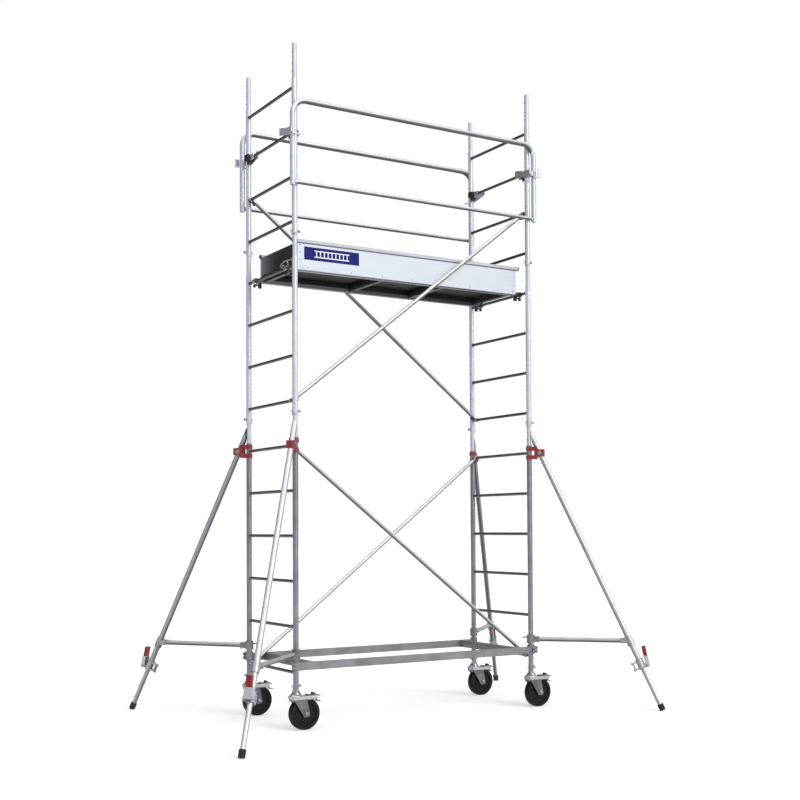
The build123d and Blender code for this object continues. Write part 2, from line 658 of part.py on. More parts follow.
# ---- toe boards ---------------------------------------------------------
def long_toe_board(side):
    """Hollow aluminium side board with a rounded bead along its top."""
    end = PLATFORM_END
    panel = block((-end, end), (TOE_INNER_Y, TOE_OUTER_Y), (TOE_BOTTOM_Z, TOE_TOP_Z))
    room = block((-end - 5, end + 5), (TOE_INNER_Y + TOE_WALL, TOE_OUTER_Y - TOE_WALL),
                 (TOE_BOTTOM_Z + TOE_WALL, TOE_TOP_Z - TOE_WALL))
    bead = rod((TOE_BEAD_LEFT, TOE_BEAD_Y, TOE_BEAD_Z), (TOE_BEAD_RIGHT, TOE_BEAD_Y, TOE_BEAD_Z), TOE_BEAD_R)
    hollow = rod((TOE_BEAD_LEFT - 5, TOE_BEAD_Y, TOE_BEAD_Z), (TOE_BEAD_RIGHT + 5, TOE_BEAD_Y, TOE_BEAD_Z),
                 TOE_BEAD_R - TOE_WALL)
    board = ((panel + bead) - room - hollow).solid()
    return mirrored(board, 1, side).solid()


def toe_board_caps():
    """Plastic caps on the open ends of the beads."""
    caps = []
    for side in (-1, 1):
        y = side * TOE_BEAD_Y
        for start, outward in ((TOE_BEAD_LEFT, -1), (TOE_BEAD_RIGHT, 1)):
            caps.append(rod((start, y, TOE_BEAD_Z), (start + outward * 5, y, TOE_BEAD_Z), TOE_BEAD_R + 0.5))
    return caps


def end_toe_boards():
    """Shorter boards across both ends of the platform."""
    inner = PLATFORM_END - END_BOARD_THICKNESS
    y_range = (-TOE_INNER_Y + 0.3, TOE_INNER_Y - 0.3)
    board = block((inner, PLATFORM_END), y_range, (END_BOARD_BOTTOM_Z, TOE_TOP_Z))
    return [mirrored(board, side, 1).solid() for side in (-1, 1)]


# ---- outriggers ---------------------------------------------------------
# An outrigger is built with its post on the Z axis and its foot along +X.
def axis_point(reach, z):
    """Point of the sloping tube's axis at a height."""
    share = (OUTRIGGER_TOP_Z - z) / OUTRIGGER_TOP_Z
    return Vector(OUTRIGGER_TOP_OFFSET + share * (reach - OUTRIGGER_TOP_OFFSET), 0, z)


def axis_directions(reach):
    """Unit vectors down the sloping tube and square to it, outward."""
    down = (axis_point(reach, 0) - axis_point(reach, OUTRIGGER_TOP_Z)).normalized()
    return down, Vector(-down.Z, 0, down.X)


def outrigger_tube(reach):
    """Sloping main tube and the quick clamp round its lower end."""
    clamp_z = rung_z(5)
    bolt_at = axis_point(reach, clamp_z)
    main = tube(tuple(axis_point(reach, OUTRIGGER_TOP_Z + 60)), tuple(axis_point(reach, MAIN_TUBE_END_Z)),
                OUTRIGGER_R, TUBE_WALL)
    main = main - rod((bolt_at.X, -30, clamp_z), (bolt_at.X, 30, clamp_z), 6.1)
    beside_post = block((-80, POST_R + 2), (-30, 30), (OUTRIGGER_TOP_Z - 90, OUTRIGGER_TOP_Z + 120))
    return [(main - beside_post).solids().sort_by(SortBy.VOLUME)[-1], quick_clamp(reach)]


def quick_clamp(reach):
    """Sleeve with lever lugs outside and a bolted strap inside."""
    down, out = axis_directions(reach)
    centre = axis_point(reach, QUICK_CLAMP_Z)
    sleeve_ends = (centre - down * SLEEVE_HALF_LENGTH, centre + down * SLEEVE_HALF_LENGTH)
    sleeve = rod(tuple(sleeve_ends[0]), tuple(sleeve_ends[1]), SLEEVE_R)
    plane = Plane(origin=centre, x_dir=out, z_dir=Vector(0, 1, 0))
    toward_foot = 1 if plane.y_dir.dot(down) > 0 else -1
    pin_at = toward_foot * LEVER_DOWN
    lugs = [plane * Pos(LEVER_OFFSET - 10, pin_at, y) * Box(20, 2 * LEVER_LUG_R, 4) for y in (-11, 11)]
    lugs += [plane * Pos(LEVER_OFFSET, pin_at, y) * Cylinder(LEVER_LUG_R, 4) for y in (-11, 11)]
    pin = plane * Pos(LEVER_OFFSET, pin_at, 0) * Cylinder(LEVER_PIN_R, LEVER_WIDTH + 8)
    arms = [plane * Pos(-34, toward_foot * d, 0) * Box(32, 9, 30) for d in (-22, 24)]
    bar = plane * Pos(-47, toward_foot * 1, 0) * Box(8, 55, 30)
    bore = rod(tuple(centre - down * 40), tuple(centre + down * 40), OUTRIGGER_R + WELD_GAP)
    return joined(sleeve, *lugs, pin, *arms, bar) - bore


def lever_pivot(reach):
    """Axis point of the quick clamp's lever."""
    down, out = axis_directions(reach)
    return axis_point(reach, QUICK_CLAMP_Z) + down * LEVER_DOWN + out * LEVER_OFFSET


def outrigger_lever(reach):
    """Lever of the quick clamp: a pressed channel with a moulded grip."""
    pivot = lever_pivot(reach)
    lean = math.radians(LEVER_LEAN)
    up = Vector(-math.sin(lean), 0, math.cos(lean))
    plane = Plane(origin=pivot, x_dir=(0, 1, 0), z_dir=up)
    outward = 1 if plane.y_dir.X > 0 else -1
    front_place = plane * Pos(0, outward * LEVER_DEPTH / 2, LEVER_ARM / 2)
    front = front_place * Box(LEVER_WIDTH, LEVER_SHEET, LEVER_ARM)
    cheek_length = LEVER_ARM + LEVER_BELOW_PIVOT
    cheeks = [plane * Pos(side * (LEVER_WIDTH - LEVER_SHEET) / 2, 0, LEVER_ARM - cheek_length / 2)
              * Box(LEVER_SHEET, LEVER_DEPTH, cheek_length) for side in (-1, 1)]
    cap = plane * Pos(0, 0, LEVER_ARM - LEVER_SHEET / 2) * Box(LEVER_WIDTH, LEVER_DEPTH, LEVER_SHEET)
    channel = joined(front, *cheeks, cap)
    channel = channel - rod((pivot.X, -40, pivot.Z), (pivot.X, 40, pivot.Z), LEVER_PIN_R + RUNNING_GAP)
    grip = plane * Pos(0, 0, LEVER_ARM + LEVER_GRIP / 2) * Box(GRIP_WIDTH, GRIP_DEPTH, LEVER_GRIP)
    grip = fillet(grip.edges(), 6)
    return [channel.solid(), grip.solid()]


def outrigger_clamp(reach):
    """Clamp that hugs the post above and below the rung and holds the main tube."""
    rung_height = rung_z(5)
    bolt_x = axis_point(reach, rung_height).X
    end_x = bolt_x + 32
    outline = [(0, 43), (54, 43), (64, 24), (end_x, 24), (end_x, -24), (64, -24), (54, -43), (0, -43),
               (0, -16), (38, -16), (38, 16), (0, 16)]
    body = side_plate([(x, rung_height + z) for x, z in outline], -RED_CLAMP_R, RED_CLAMP_R)
    rings = [rod((0, 0, rung_height + low), (0, 0, rung_height + high), RED_CLAMP_R)
             for low, high in ((-43, -16), (16, 43))]
    post_room = rod((0, 0, rung_height - 50), (0, 0, rung_height + 50), POST_CLAMP_IN_R)
    tube_room = rod(tuple(axis_point(reach, rung_height + 90)), tuple(axis_point(reach, rung_height - 90)),
                    OUTRIGGER_R + 0.3)
    bolt_hole = rod((bolt_x, -30, rung_height), (bolt_x, 30, rung_height), 6.1)
    bolt = joined(
        rod((bolt_x, -23, rung_height), (bolt_x, 23, rung_height), 6),
        rod((bolt_x, -30, rung_height), (bolt_x, -RED_CLAMP_R - 0.05, rung_height), 10),
        rod((bolt_x, RED_CLAMP_R + 0.05, rung_height), (bolt_x, 30, rung_height), 10),
    )
    clamp = joined(body, *rings) - post_room - tube_room - bolt_hole
    return [clamp.solid(), bolt]


def outrigger_stay(reach):
    """Level stay with its post clamp, turn handle and main tube collar."""
    collar_at = axis_point(reach, STAY_Z)
    down = axis_directions(reach)[0]
    ring = rod((0, 0, STAY_Z - 28), (0, 0, STAY_Z + 28), POST_CLAMP_OUT_R)
    boss = block((14, 60), (-17, 17), (STAY_Z - 18, STAY_Z + 18))
    screw = rod((-20, 0, STAY_Z + 12), (-52, 0, STAY_Z + 12), 4.5)
    cross_bar = rod((-50, -20, STAY_Z + 12), (-50, 20, STAY_Z + 12), 4)
    bolt = rod((STAY_BOLT_X, -26, STAY_Z), (STAY_BOLT_X, 26, STAY_Z), STAY_BOLT_R)
    ring_centre = STAY_Z + STAY_BOLT_R + 0.1 - (HANG_RING_RADIUS - HANG_RING_WIRE_R)
    hanging_ring = Solid.make_torus(HANG_RING_RADIUS, HANG_RING_WIRE_R,
                                    Plane(origin=(STAY_BOLT_X, 21.5, ring_centre), z_dir=(0, 1, 0)))
    post_clamp = joined(ring, boss, screw, cross_bar, bolt)
    post_clamp = post_clamp - rod((0, 0, STAY_Z - 40), (0, 0, STAY_Z + 40), POST_CLAMP_IN_R)
    bar = tube((60.02, 0, STAY_Z), (collar_at.X - 32, 0, STAY_Z), STAY_R, TUBE_WALL)
    collar_ends = (collar_at - down * SLEEVE_HALF_LENGTH, collar_at + down * SLEEVE_HALF_LENGTH)
    collar = rod(tuple(collar_ends[0]), tuple(collar_ends[1]), SLEEVE_R)
    ears = [block((collar_at.X - 62, collar_at.X - 12), y_range, (STAY_Z - 17, STAY_Z + 17))
            for y_range in ((-19.5, -15.2), (15.2, 19.5))]
    bolts = [rod((collar_at.X - 48, low, STAY_Z), (collar_at.X - 48, high, STAY_Z), 9)
             for low, high in ((-26, -19), (19, 26))]
    fitting = joined(collar, *ears, *bolts)
    bore = rod(tuple(collar_at - down * 60), tuple(collar_at + down * 60), OUTRIGGER_R + WELD_GAP)
    fitting = fitting - bore
    return [post_clamp.solid(), hanging_ring, bar, fitting.solid()]


def foot_base(reach):
    """End of the foot's axis, just above the ground so its corner rests on it."""
    down = axis_directions(reach)[0]
    return axis_point(reach, FOOT_R * down.X - 3)


def outrigger_leg(reach):
    """Telescopic leg inside the main tube."""
    down = axis_directions(reach)[0]
    end = foot_base(reach) - down * FOOT_SOLE
    return tube(tuple(axis_point(reach, LEG_HIDDEN_TOP_Z)), tuple(end), LEG_R, TUBE_WALL)


def outrigger_foot(reach):
    """Rubber foot over the leg's end, flat where it stands on the ground."""
    down = axis_directions(reach)[0]
    base = foot_base(reach)
    foot = rod(tuple(base - down * FOOT_LENGTH), tuple(base), FOOT_R)
    socket = rod(tuple(base - down * (FOOT_LENGTH + 5)), tuple(base - down * FOOT_SOLE), LEG_R + WELD_GAP)
    below_ground = block((reach - 200, reach + 200), (-100, 100), (-80, 0))
    return (foot - socket - below_ground).solid()


# ---- the whole tower ----------------------------------------------------
def at_corner(corner, turn=0.0):
    """Place of a post's foot, turned about the post."""
    side_x, side_y = CORNERS[corner]
    return Pos(side_x * HALF_BAY, side_y * HALF_WIDTH, 0) * Rot(0, 0, turn)


def save_tower():
    """End frames, their fasteners, the base frame and the braces."""
    for side, side_name in ((-1, "left"), (1, "right")):
        for level in FRAME_LEVELS:
            save(f"end_frame_{side_name}_{level}", end_frame(side, level))
    spigots = [spigot(side_x * HALF_BAY, side_y * HALF_WIDTH, level)
               for side_x, side_y in CORNERS.values() for level in FRAME_LEVELS]
    save("frame_spigots", spigots)
    save("locking_pins", [place * piece for place in pin_places() for piece in (locking_pin(), pin_knob())])
    save("base_frame", base_frame())
    save("diagonal_braces", [brace(*ends) for ends in BRACES])
    save("brace_latches", brace_latches())


def save_rails_and_platform():
    """Guardrails, platform, trapdoor and toe boards."""
    save("guardrail_front", guardrail(-1))
    save("guardrail_back", guardrail(1))
    save("guardrail_latches", guard_latches())
    save("platform_frame", platform_frame())
    save("platform_latches", platform_latches())
    save("deck_panel", deck_panel())
    save("trapdoor", trapdoor())
    save("trapdoor_hinges", trapdoor_hinges())
    save("toe_board_front", long_toe_board(-1))
    save("toe_board_back", long_toe_board(1))
    save("end_toe_boards", end_toe_boards())
    save("toe_board_caps", toe_board_caps())


def save_casters():
    """A caster under each post."""
    save("caster_stems", [at_corner(corner) * caster_stem() for corner in CORNERS])
    for corner in CORNERS:
        place = at_corner(corner)
        save(f"caster_fork_{corner}", place * swivel_head(),
             [place * leg for leg in both_sides(fork_leg())], place * axle_bolt())
        save(f"caster_wheel_{corner}", place * wheel())
        save(f"brake_pedal_{corner}", place * brake_pedal())


def save_outriggers():
    """A folding outrigger at each corner."""
    for corner, (turn, reach) in OUTRIGGERS.items():
        place = at_corner(corner, turn)
        save(f"outrigger_tube_{corner}", [place * shape for shape in outrigger_tube(reach)])
        save(f"outrigger_clamp_{corner}", [place * shape for shape in outrigger_clamp(reach)])
        save(f"outrigger_stay_{corner}", [place * shape for shape in outrigger_stay(reach)])
        save(f"outrigger_lever_{corner}", [place * shape for shape in outrigger_lever(reach)])
        save(f"outrigger_leg_{corner}", place * outrigger_leg(reach))
        save(f"outrigger_foot_{corner}", place * outrigger_foot(reach))


os.makedirs("parts", exist_ok=True)
save_tower()
save_rails_and_platform()
save_casters()
save_outriggers()
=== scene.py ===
import json
import math
import random

import bmesh
import bpy
from mathutils import Matrix, Vector


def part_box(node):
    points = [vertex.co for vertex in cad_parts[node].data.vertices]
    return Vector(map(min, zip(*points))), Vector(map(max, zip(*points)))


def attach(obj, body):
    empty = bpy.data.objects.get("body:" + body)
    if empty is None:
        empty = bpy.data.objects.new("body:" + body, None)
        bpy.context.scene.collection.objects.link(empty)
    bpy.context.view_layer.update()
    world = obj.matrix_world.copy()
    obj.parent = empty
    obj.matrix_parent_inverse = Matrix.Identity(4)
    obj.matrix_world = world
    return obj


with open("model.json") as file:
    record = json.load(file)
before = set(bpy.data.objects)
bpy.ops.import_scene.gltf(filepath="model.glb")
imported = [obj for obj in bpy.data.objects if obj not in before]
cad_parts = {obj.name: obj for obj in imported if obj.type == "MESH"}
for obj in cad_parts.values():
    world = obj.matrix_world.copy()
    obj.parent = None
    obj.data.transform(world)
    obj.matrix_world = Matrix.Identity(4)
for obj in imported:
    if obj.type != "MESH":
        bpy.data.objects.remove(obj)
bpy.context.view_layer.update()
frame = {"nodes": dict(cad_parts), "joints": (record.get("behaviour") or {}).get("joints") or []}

# Mobile tower scaffold. Metres, +Z up, +X along the bay, front side at -Y.
random.seed(7)

NODES = frame["nodes"]
JOINTS = {joint["name"]: joint for joint in frame["joints"]}
CORNERS = ("front_left", "front_right", "back_left", "back_right")
LEVELS = ("lower", "middle", "upper")


# ---- places taken from the frame, and sizes shared with the CAD model -----------
def post_axis(corner):
    return Vector(JOINTS[f"caster_swivel_{corner}"]["pos_m"])


def signs(corner):
    """-1 or 1 along X and Y for a corner."""
    axis = post_axis(corner)
    return math.copysign(1, axis.x), math.copysign(1, axis.y)


HALF_BAY = abs(post_axis("front_left").x)
HALF_WIDTH = abs(post_axis("front_left").y)
FIRST_RUNG_Z = 0.351
RUNG_PITCH = 0.279
RUNG_COUNT = 14
RUNG_R = 0.010
POST_R = 0.0175


def rung_z(number):
    return FIRST_RUNG_Z + RUNG_PITCH * number


# ---- materials ---------------------------------------------------------------
# Painted shade multiplied into the rungs of the upper and lower end frames.
UPPER_RUNG_SHADE = (0.065, 0.066, 0.072)
LOWER_RUNG_SHADE = (0.50, 0.50, 0.51)
RUNG_END_Y = HALF_WIDTH - POST_R
GUARD_LEG_START_X = 0.9055
STAY_CLAMP_REACH = 0.0605
# Radii within which the spigot gets painted shade: inside the tube, and round each cross hole at these
# heights.
SPIGOT_INNER_R = 0.0136
SPIGOT_HOLES_Z = (4.070, 4.123, 4.190)
SPIGOT_HOLE_SHADE_R = 0.0062
FORK_CROWN_BOTTOM_Z = 0.190
FORK_CROWN_TOP_Z = 0.213
GRIP_START_Z = 0.370
BEAD_SEAM_Z = 3.0235
LIP_TOP_Z = 2.876
SIDE_BEAM_START_Y = 0.2205
BRUSHED = (4, 4, 0.4)


class Shader:
    """A Principled material under construction, with short ways to add nodes."""

    def __init__(self, name, **values):
        self.material = bpy.data.materials.new(name)
        self.material.use_nodes = True
        self.tree = self.material.node_tree
        self.surface = self.tree.nodes["Principled BSDF"]
        for socket, value in values.items():
            self.surface.inputs[socket.replace("_", " ")].default_value = value
        self.place = self.tree.nodes.new("ShaderNodeTexCoord")

    def node(self, kind, inputs=None, **settings):
        """Adds a node; an input given as a socket is linked, any other is a value."""
        made = self.tree.nodes.new(kind)
        for key, value in settings.items():
            setattr(made, key, value)
        for key, value in (inputs or {}).items():
            if isinstance(value, bpy.types.NodeSocket):
                self.tree.links.new(value, made.inputs[key])
            else:
                made.inputs[key].default_value = value
        return made

    def stretched(self, scale):
        """Object coordinates scaled along each axis."""
        mapping = self.node("ShaderNodeMapping", {"Vector": self.place.outputs["Object"], "Scale": scale})
        return mapping.outputs[0]

    def noise(self, scale, detail=4.0, stretch=(1, 1, 1), roughness=0.55):
        return self.node("ShaderNodeTexNoise", {"Vector": self.stretched(stretch), "Scale": scale,
                                                "Detail": detail, "Roughness": roughness}).outputs["Fac"]

    def cells(self, scale, stretch=(1, 1, 1)):
        """Random value for each cell of a Voronoi pattern, as zinc spangle has."""
        voronoi = self.node("ShaderNodeTexVoronoi", {"Vector": self.stretched(stretch), "Scale": scale})
        return self.node("ShaderNodeSeparateColor", {"Color": voronoi.outputs["Color"]}).outputs["Red"]

    def ramp(self, value, low, high, to_low=0.0, to_high=1.0):
        return self.node("ShaderNodeMapRange", {"Value": value, "From Min": low, "From Max": high,
                                                "To Min": to_low, "To Max": to_high}).outputs["Result"]

    def math(self, operation, first, second=0.0):
        return self.node("ShaderNodeMath", {0: first, 1: second}, operation=operation).outputs[0]

    def mix(self, factor, first, second, blend="MIX"):
        """Colour between two colours, each a socket or three numbers."""
        made = self.node("ShaderNodeMix", data_type="RGBA", blend_type=blend)
        for index, value in ((0, factor), (6, first), (7, second)):
            if isinstance(value, bpy.types.NodeSocket):
                self.tree.links.new(value, made.inputs[index])
            elif index == 0:
                made.inputs[index].default_value = value
            else:
                made.inputs[index].default_value = (*value, 1.0)
        return made.outputs[2]

    def axis(self, letter, source="Object"):
        """One coordinate of the rest position, or of the surface normal."""
        split = self.node("ShaderNodeSeparateXYZ", {0: self.place.outputs[source]})
        return split.outputs["XYZ".index(letter)]

    def colour(self, socket):
        self.tree.links.new(socket, self.surface.inputs["Base Color"])

    def rough(self, value, low, high):
        self.tree.links.new(self.ramp(value, 0.3, 0.7, low, high), self.surface.inputs["Roughness"])

    def bump(self, height, strength, distance):
        made = self.node("ShaderNodeBump", {"Height": height, "Strength": strength, "Distance": distance})
        self.tree.links.new(made.outputs["Normal"], self.surface.inputs["Normal"])

    def length(self, first, second):
        """Length of a vector with two components."""
        squares = [self.math("MULTIPLY", value, value) for value in (first, second)]
        return self.math("SQRT", self.math("ADD", *squares))

    def past(self, letter, middle):
        """How far out along an axis a point lies past the place at middle, on either side of the tower."""
        return self.math("SUBTRACT", self.math("ABSOLUTE", self.axis(letter)), middle)

    def metal_finish(self, colour, low, high, stretch=BRUSHED, grain=0.12):
        """Colour, scratches and fine grain of a zinc surface; returns the finished material."""
        self.colour(colour)
        self.rough(self.noise(60.0, 6.0, stretch), low, high)
        self.bump(self.noise(220.0, 3.0), grain, 0.0004)
        return self.material


def post_distance(shader):
    """Distance of a surface point from the nearest post's axis."""
    return shader.length(shader.past("X", HALF_BAY), shader.past("Y", HALF_WIDTH))


def zinc_colour(shader, bright, dull, painted_underside_shade=0.45, spangle=130.0, contrast=1.0):
    """Spangled zinc with duller streaks, and painted shade that darkens downward-facing faces."""
    flakes = shader.ramp(shader.cells(spangle), 0.0, 1.0, 1.0 - 0.07 * contrast, 1.0 + 0.05 * contrast)
    clouds = shader.ramp(shader.noise(9.0, 5.0), 0.35, 0.70)
    tint = shader.mix(clouds, bright, dull)
    # Painted shade: faces that point down get darker, down to the given fraction.
    under = shader.ramp(shader.axis("Z", "Normal"), -0.45, 0.45, painted_underside_shade, 1.0)
    shade = shader.math("MULTIPLY", flakes, under)
    grey = shader.node("ShaderNodeCombineColor", {0: shade, 1: shade, 2: shade}).outputs[0]
    return shader.mix(1.0, tint, grey, "MULTIPLY")


def galvanised(name, bright, dull, metallic=0.85, low=0.30, high=0.46, rung_shade=None, painted_underside_shade=0.45):
    """Hot-dip zinc; a rung_shade paints shade on the rungs between the posts, with a painted highlight along
    their tops.
    """
    shader = Shader(name, Metallic=metallic, Specular_IOR_Level=0.5)
    colour = zinc_colour(shader, bright, dull, painted_underside_shade)
    if rung_shade:
        inside = shader.math("LESS_THAN", shader.math("ABSOLUTE", shader.axis("Y")), RUNG_END_Y)
        # Painted shade on the rungs between the posts.
        dark = shader.mix(1.0, colour, rung_shade, "MULTIPLY")
        # Painted highlight: upward-facing tops of the rungs keep part of the lighter colour.
        painted_top_light = shader.ramp(shader.axis("Z", "Normal"), 0.55, 0.95, 0.0, 0.40)
        colour = shader.mix(inside, colour, shader.mix(painted_top_light, dark, colour))
    return shader.metal_finish(colour, low, high)


def rail_material(name, painted_underside_shade, leg_start=None):
    """Galvanised rail with painted shade on its downward-facing faces; beyond leg_start along X the upright
    legs get a bluer zinc with only weak painted shade.
    """
    shader = Shader(name, Metallic=0.45, Specular_IOR_Level=0.5)
    colour = zinc_colour(shader, (0.82, 0.82, 0.82), (0.70, 0.70, 0.71), painted_underside_shade)
    if leg_start:
        legs = shader.math("GREATER_THAN", shader.math("ABSOLUTE", shader.axis("X")), leg_start)
        upright = zinc_colour(shader, (0.72, 0.75, 0.85), (0.63, 0.66, 0.76), 0.8, contrast=0.6)
        colour = shader.mix(legs, colour, upright)
    return shader.metal_finish(colour, 0.30, 0.46)


def stay_material():
    """Galvanised stay with a darker zinc clamp round the post."""
    shader = Shader("stay", Metallic=0.65, Specular_IOR_Level=0.5)
    # The bar's downward-facing side gets strong painted shade.
    bar = zinc_colour(shader, (0.66, 0.68, 0.72), (0.54, 0.56, 0.60), 0.10)
    clamp = zinc_colour(shader, (0.36, 0.37, 0.39), (0.22, 0.23, 0.245), 0.4)
    near_post = shader.math("LESS_THAN", post_distance(shader), STAY_CLAMP_REACH)
    return shader.metal_finish(shader.mix(near_post, bar, clamp), 0.32, 0.48, (1, 1, 1), 0.15)


def spigot_material():
    """Smooth bright spigot tube, with painted shade inside it and in a band around each cross hole that
    reaches past the hole's rim.
    """
    shader = Shader("spigot", Metallic=0.3, Specular_IOR_Level=0.5)
    outside = zinc_colour(shader, (0.82, 0.84, 0.94), (0.74, 0.76, 0.86), 0.45, contrast=0.4)
    # Painted shade inside the tube and around the cross holes.
    dark = shader.math("LESS_THAN", post_distance(shader), SPIGOT_INNER_R)
    across = shader.past("Y", HALF_WIDTH)
    for height in SPIGOT_HOLES_Z:
        distance = shader.length(across, shader.math("SUBTRACT", shader.axis("Z"), height))
        dark = shader.math("MAXIMUM", dark, shader.math("LESS_THAN", distance, SPIGOT_HOLE_SHADE_R))
    return shader.metal_finish(shader.mix(dark, outside, (0.03, 0.03, 0.033)), 0.32, 0.48, grain=0.10)


def plastic(name, light, dark, low=0.42, high=0.62, grain=500.0, shine=0.4):
    """Moulded plastic or rubber with a fine grain."""
    shader = Shader(name, Specular_IOR_Level=shine)
    shader.colour(shader.mix(shader.ramp(shader.noise(24.0, 5.0), 0.35, 0.7), dark, light))
    shader.rough(shader.noise(45.0, 4.0), low, high)
    shader.bump(shader.noise(grain, 2.0), 0.25, 0.0003)
    return shader.material


def painted(name, light, dark, low=0.35, high=0.55, scuffing=0.22, coat=0.15, shine=0.5):
    """Paint with an orange-peel surface and faint scuffs."""
    shader = Shader(name, Coat_Weight=coat, Coat_Roughness=0.3, Specular_IOR_Level=shine)
    scuffs = shader.ramp(shader.noise(38.0, 6.0, (1, 1, 0.3)), 0.56, 0.72)
    base = shader.mix(shader.ramp(shader.noise(12.0, 3.0), 0.35, 0.65), light, dark)
    shader.colour(shader.mix(shader.math("MULTIPLY", scuffs, scuffing), base, (0.5, 0.5, 0.5)))
    shader.rough(shader.noise(50.0, 4.0), low, high)
    shader.bump(shader.noise(320.0, 2.0), 0.15, 0.0003)
    return shader.material


def fork_material():
    """Pressed steel, with the crown painted lighter than the legs and the collar as a painted highlight."""
    shader = Shader("fork_steel", Metallic=0.85, Specular_IOR_Level=0.5)
    legs = zinc_colour(shader, (0.27, 0.28, 0.295), (0.14, 0.145, 0.155))
    crown = zinc_colour(shader, (0.78, 0.79, 0.82), (0.56, 0.57, 0.60))
    # Painted highlight on the crown band.
    above = shader.ramp(shader.axis("Z"), FORK_CROWN_BOTTOM_Z - 0.004, FORK_CROWN_BOTTOM_Z)
    below = shader.ramp(shader.axis("Z"), FORK_CROWN_TOP_Z, FORK_CROWN_TOP_Z + 0.012, 1.0, 0.25)
    painted_crown_highlight = shader.math("MULTIPLY", above, below)
    return shader.metal_finish(shader.mix(painted_crown_highlight, legs, crown), 0.24, 0.40)


def lever_material():
    """Zinc arm below, moulded red grip above."""
    shader = Shader("lever", Specular_IOR_Level=0.45)
    split = shader.math("GREATER_THAN", shader.axis("Z"), GRIP_START_Z)
    shift = shader.ramp(shader.noise(60.0, 3.0), 0.3, 0.7)
    red = shader.mix(shift, (0.19, 0.010, 0.013), (0.25, 0.015, 0.018))
    zinc = zinc_colour(shader, (0.80, 0.82, 0.86), (0.62, 0.64, 0.68))
    shader.colour(shader.mix(split, zinc, red))
    metal = shader.math("SUBTRACT", 1.0, split)
    shader.tree.links.new(shader.math("MULTIPLY", metal, 0.9), shader.surface.inputs["Metallic"])
    shader.rough(shader.noise(90.0, 4.0), 0.36, 0.52)
    shader.bump(shader.noise(400.0, 2.0), 0.2, 0.0003)
    return shader.material


def pedal_material():
    """Pressed steel pedal with a black release tab below and a black pad on top."""
    shader = Shader("pedal", Specular_IOR_Level=0.5)
    height = shader.axis("Z", "Generated")
    tab = shader.math("LESS_THAN", height, 0.20)
    pad = shader.math("GREATER_THAN", height, 0.80)
    black = shader.math("ADD", tab, pad)
    zinc = zinc_colour(shader, (0.46, 0.47, 0.50), (0.30, 0.31, 0.33))
    shader.colour(shader.mix(black, zinc, (0.016, 0.016, 0.017)))
    metal = shader.math("SUBTRACT", 1.0, black)
    shader.tree.links.new(shader.math("MULTIPLY", metal, 0.85), shader.surface.inputs["Metallic"])
    shader.rough(shader.noise(90.0, 4.0), 0.34, 0.52)
    shader.bump(shader.noise(400.0, 2.0), 0.2, 0.0003)
    return shader.material


def board_material():
    """Satin extruded aluminium with fine lines drawn along its length."""
    shader = Shader("aluminium_board", Metallic=0.25, Specular_IOR_Level=0.5)
    lines = shader.noise(1.0, 3.0, (1.5, 260, 260))
    clouds = shader.ramp(shader.noise(2.2, 4.0), 0.3, 0.7)
    base = shader.mix(clouds, (0.61, 0.645, 0.70), (0.55, 0.585, 0.64))
    drawn = shader.mix(shader.ramp(lines, 0.35, 0.65, 0.0, 0.10), base, (0.45, 0.47, 0.50))
    height = shader.axis("Z")
    bead = shader.math("GREATER_THAN", height, BEAD_SEAM_Z)
    greyer = shader.mix(1.0, drawn, (0.86, 0.85, 0.83), "MULTIPLY")
    # Painted shadow: a dark band along the line where the bead overhangs the board.
    from_seam = shader.math("ABSOLUTE", shader.math("SUBTRACT", height, BEAD_SEAM_Z))
    painted_bead_shadow = shader.ramp(from_seam, 0.0030, 0.0055, 0.9, 0.0)
    shader.colour(shader.mix(painted_bead_shadow, shader.mix(bead, drawn, greyer), (0.10, 0.10, 0.11)))
    shader.rough(lines, 0.45, 0.60)
    shader.bump(lines, 0.08, 0.0004)
    return shader.material


def end_board_material():
    """Brushed aluminium painted dark as shade, with a painted highlight that lightens it towards its back
    end.
    """
    shader = Shader("end_board", Metallic=0.7, Specular_IOR_Level=0.5)
    lines = shader.noise(1.0, 3.0, (260, 1.5, 260))
    clouds = shader.ramp(shader.noise(3.0, 4.0), 0.3, 0.7)
    # Painted shade: the dark base colour.
    base = shader.mix(clouds, (0.12, 0.123, 0.13), (0.07, 0.071, 0.076))
    # Painted highlight: lighter towards the back end along Y.
    painted_sheen = shader.ramp(shader.axis("Y"), 0.05, 0.26, 0.0, 0.75)
    shader.colour(shader.mix(painted_sheen, base, (0.40, 0.41, 0.42)))
    shader.rough(lines, 0.30, 0.42)
    shader.bump(lines, 0.08, 0.0004)
    return shader.material


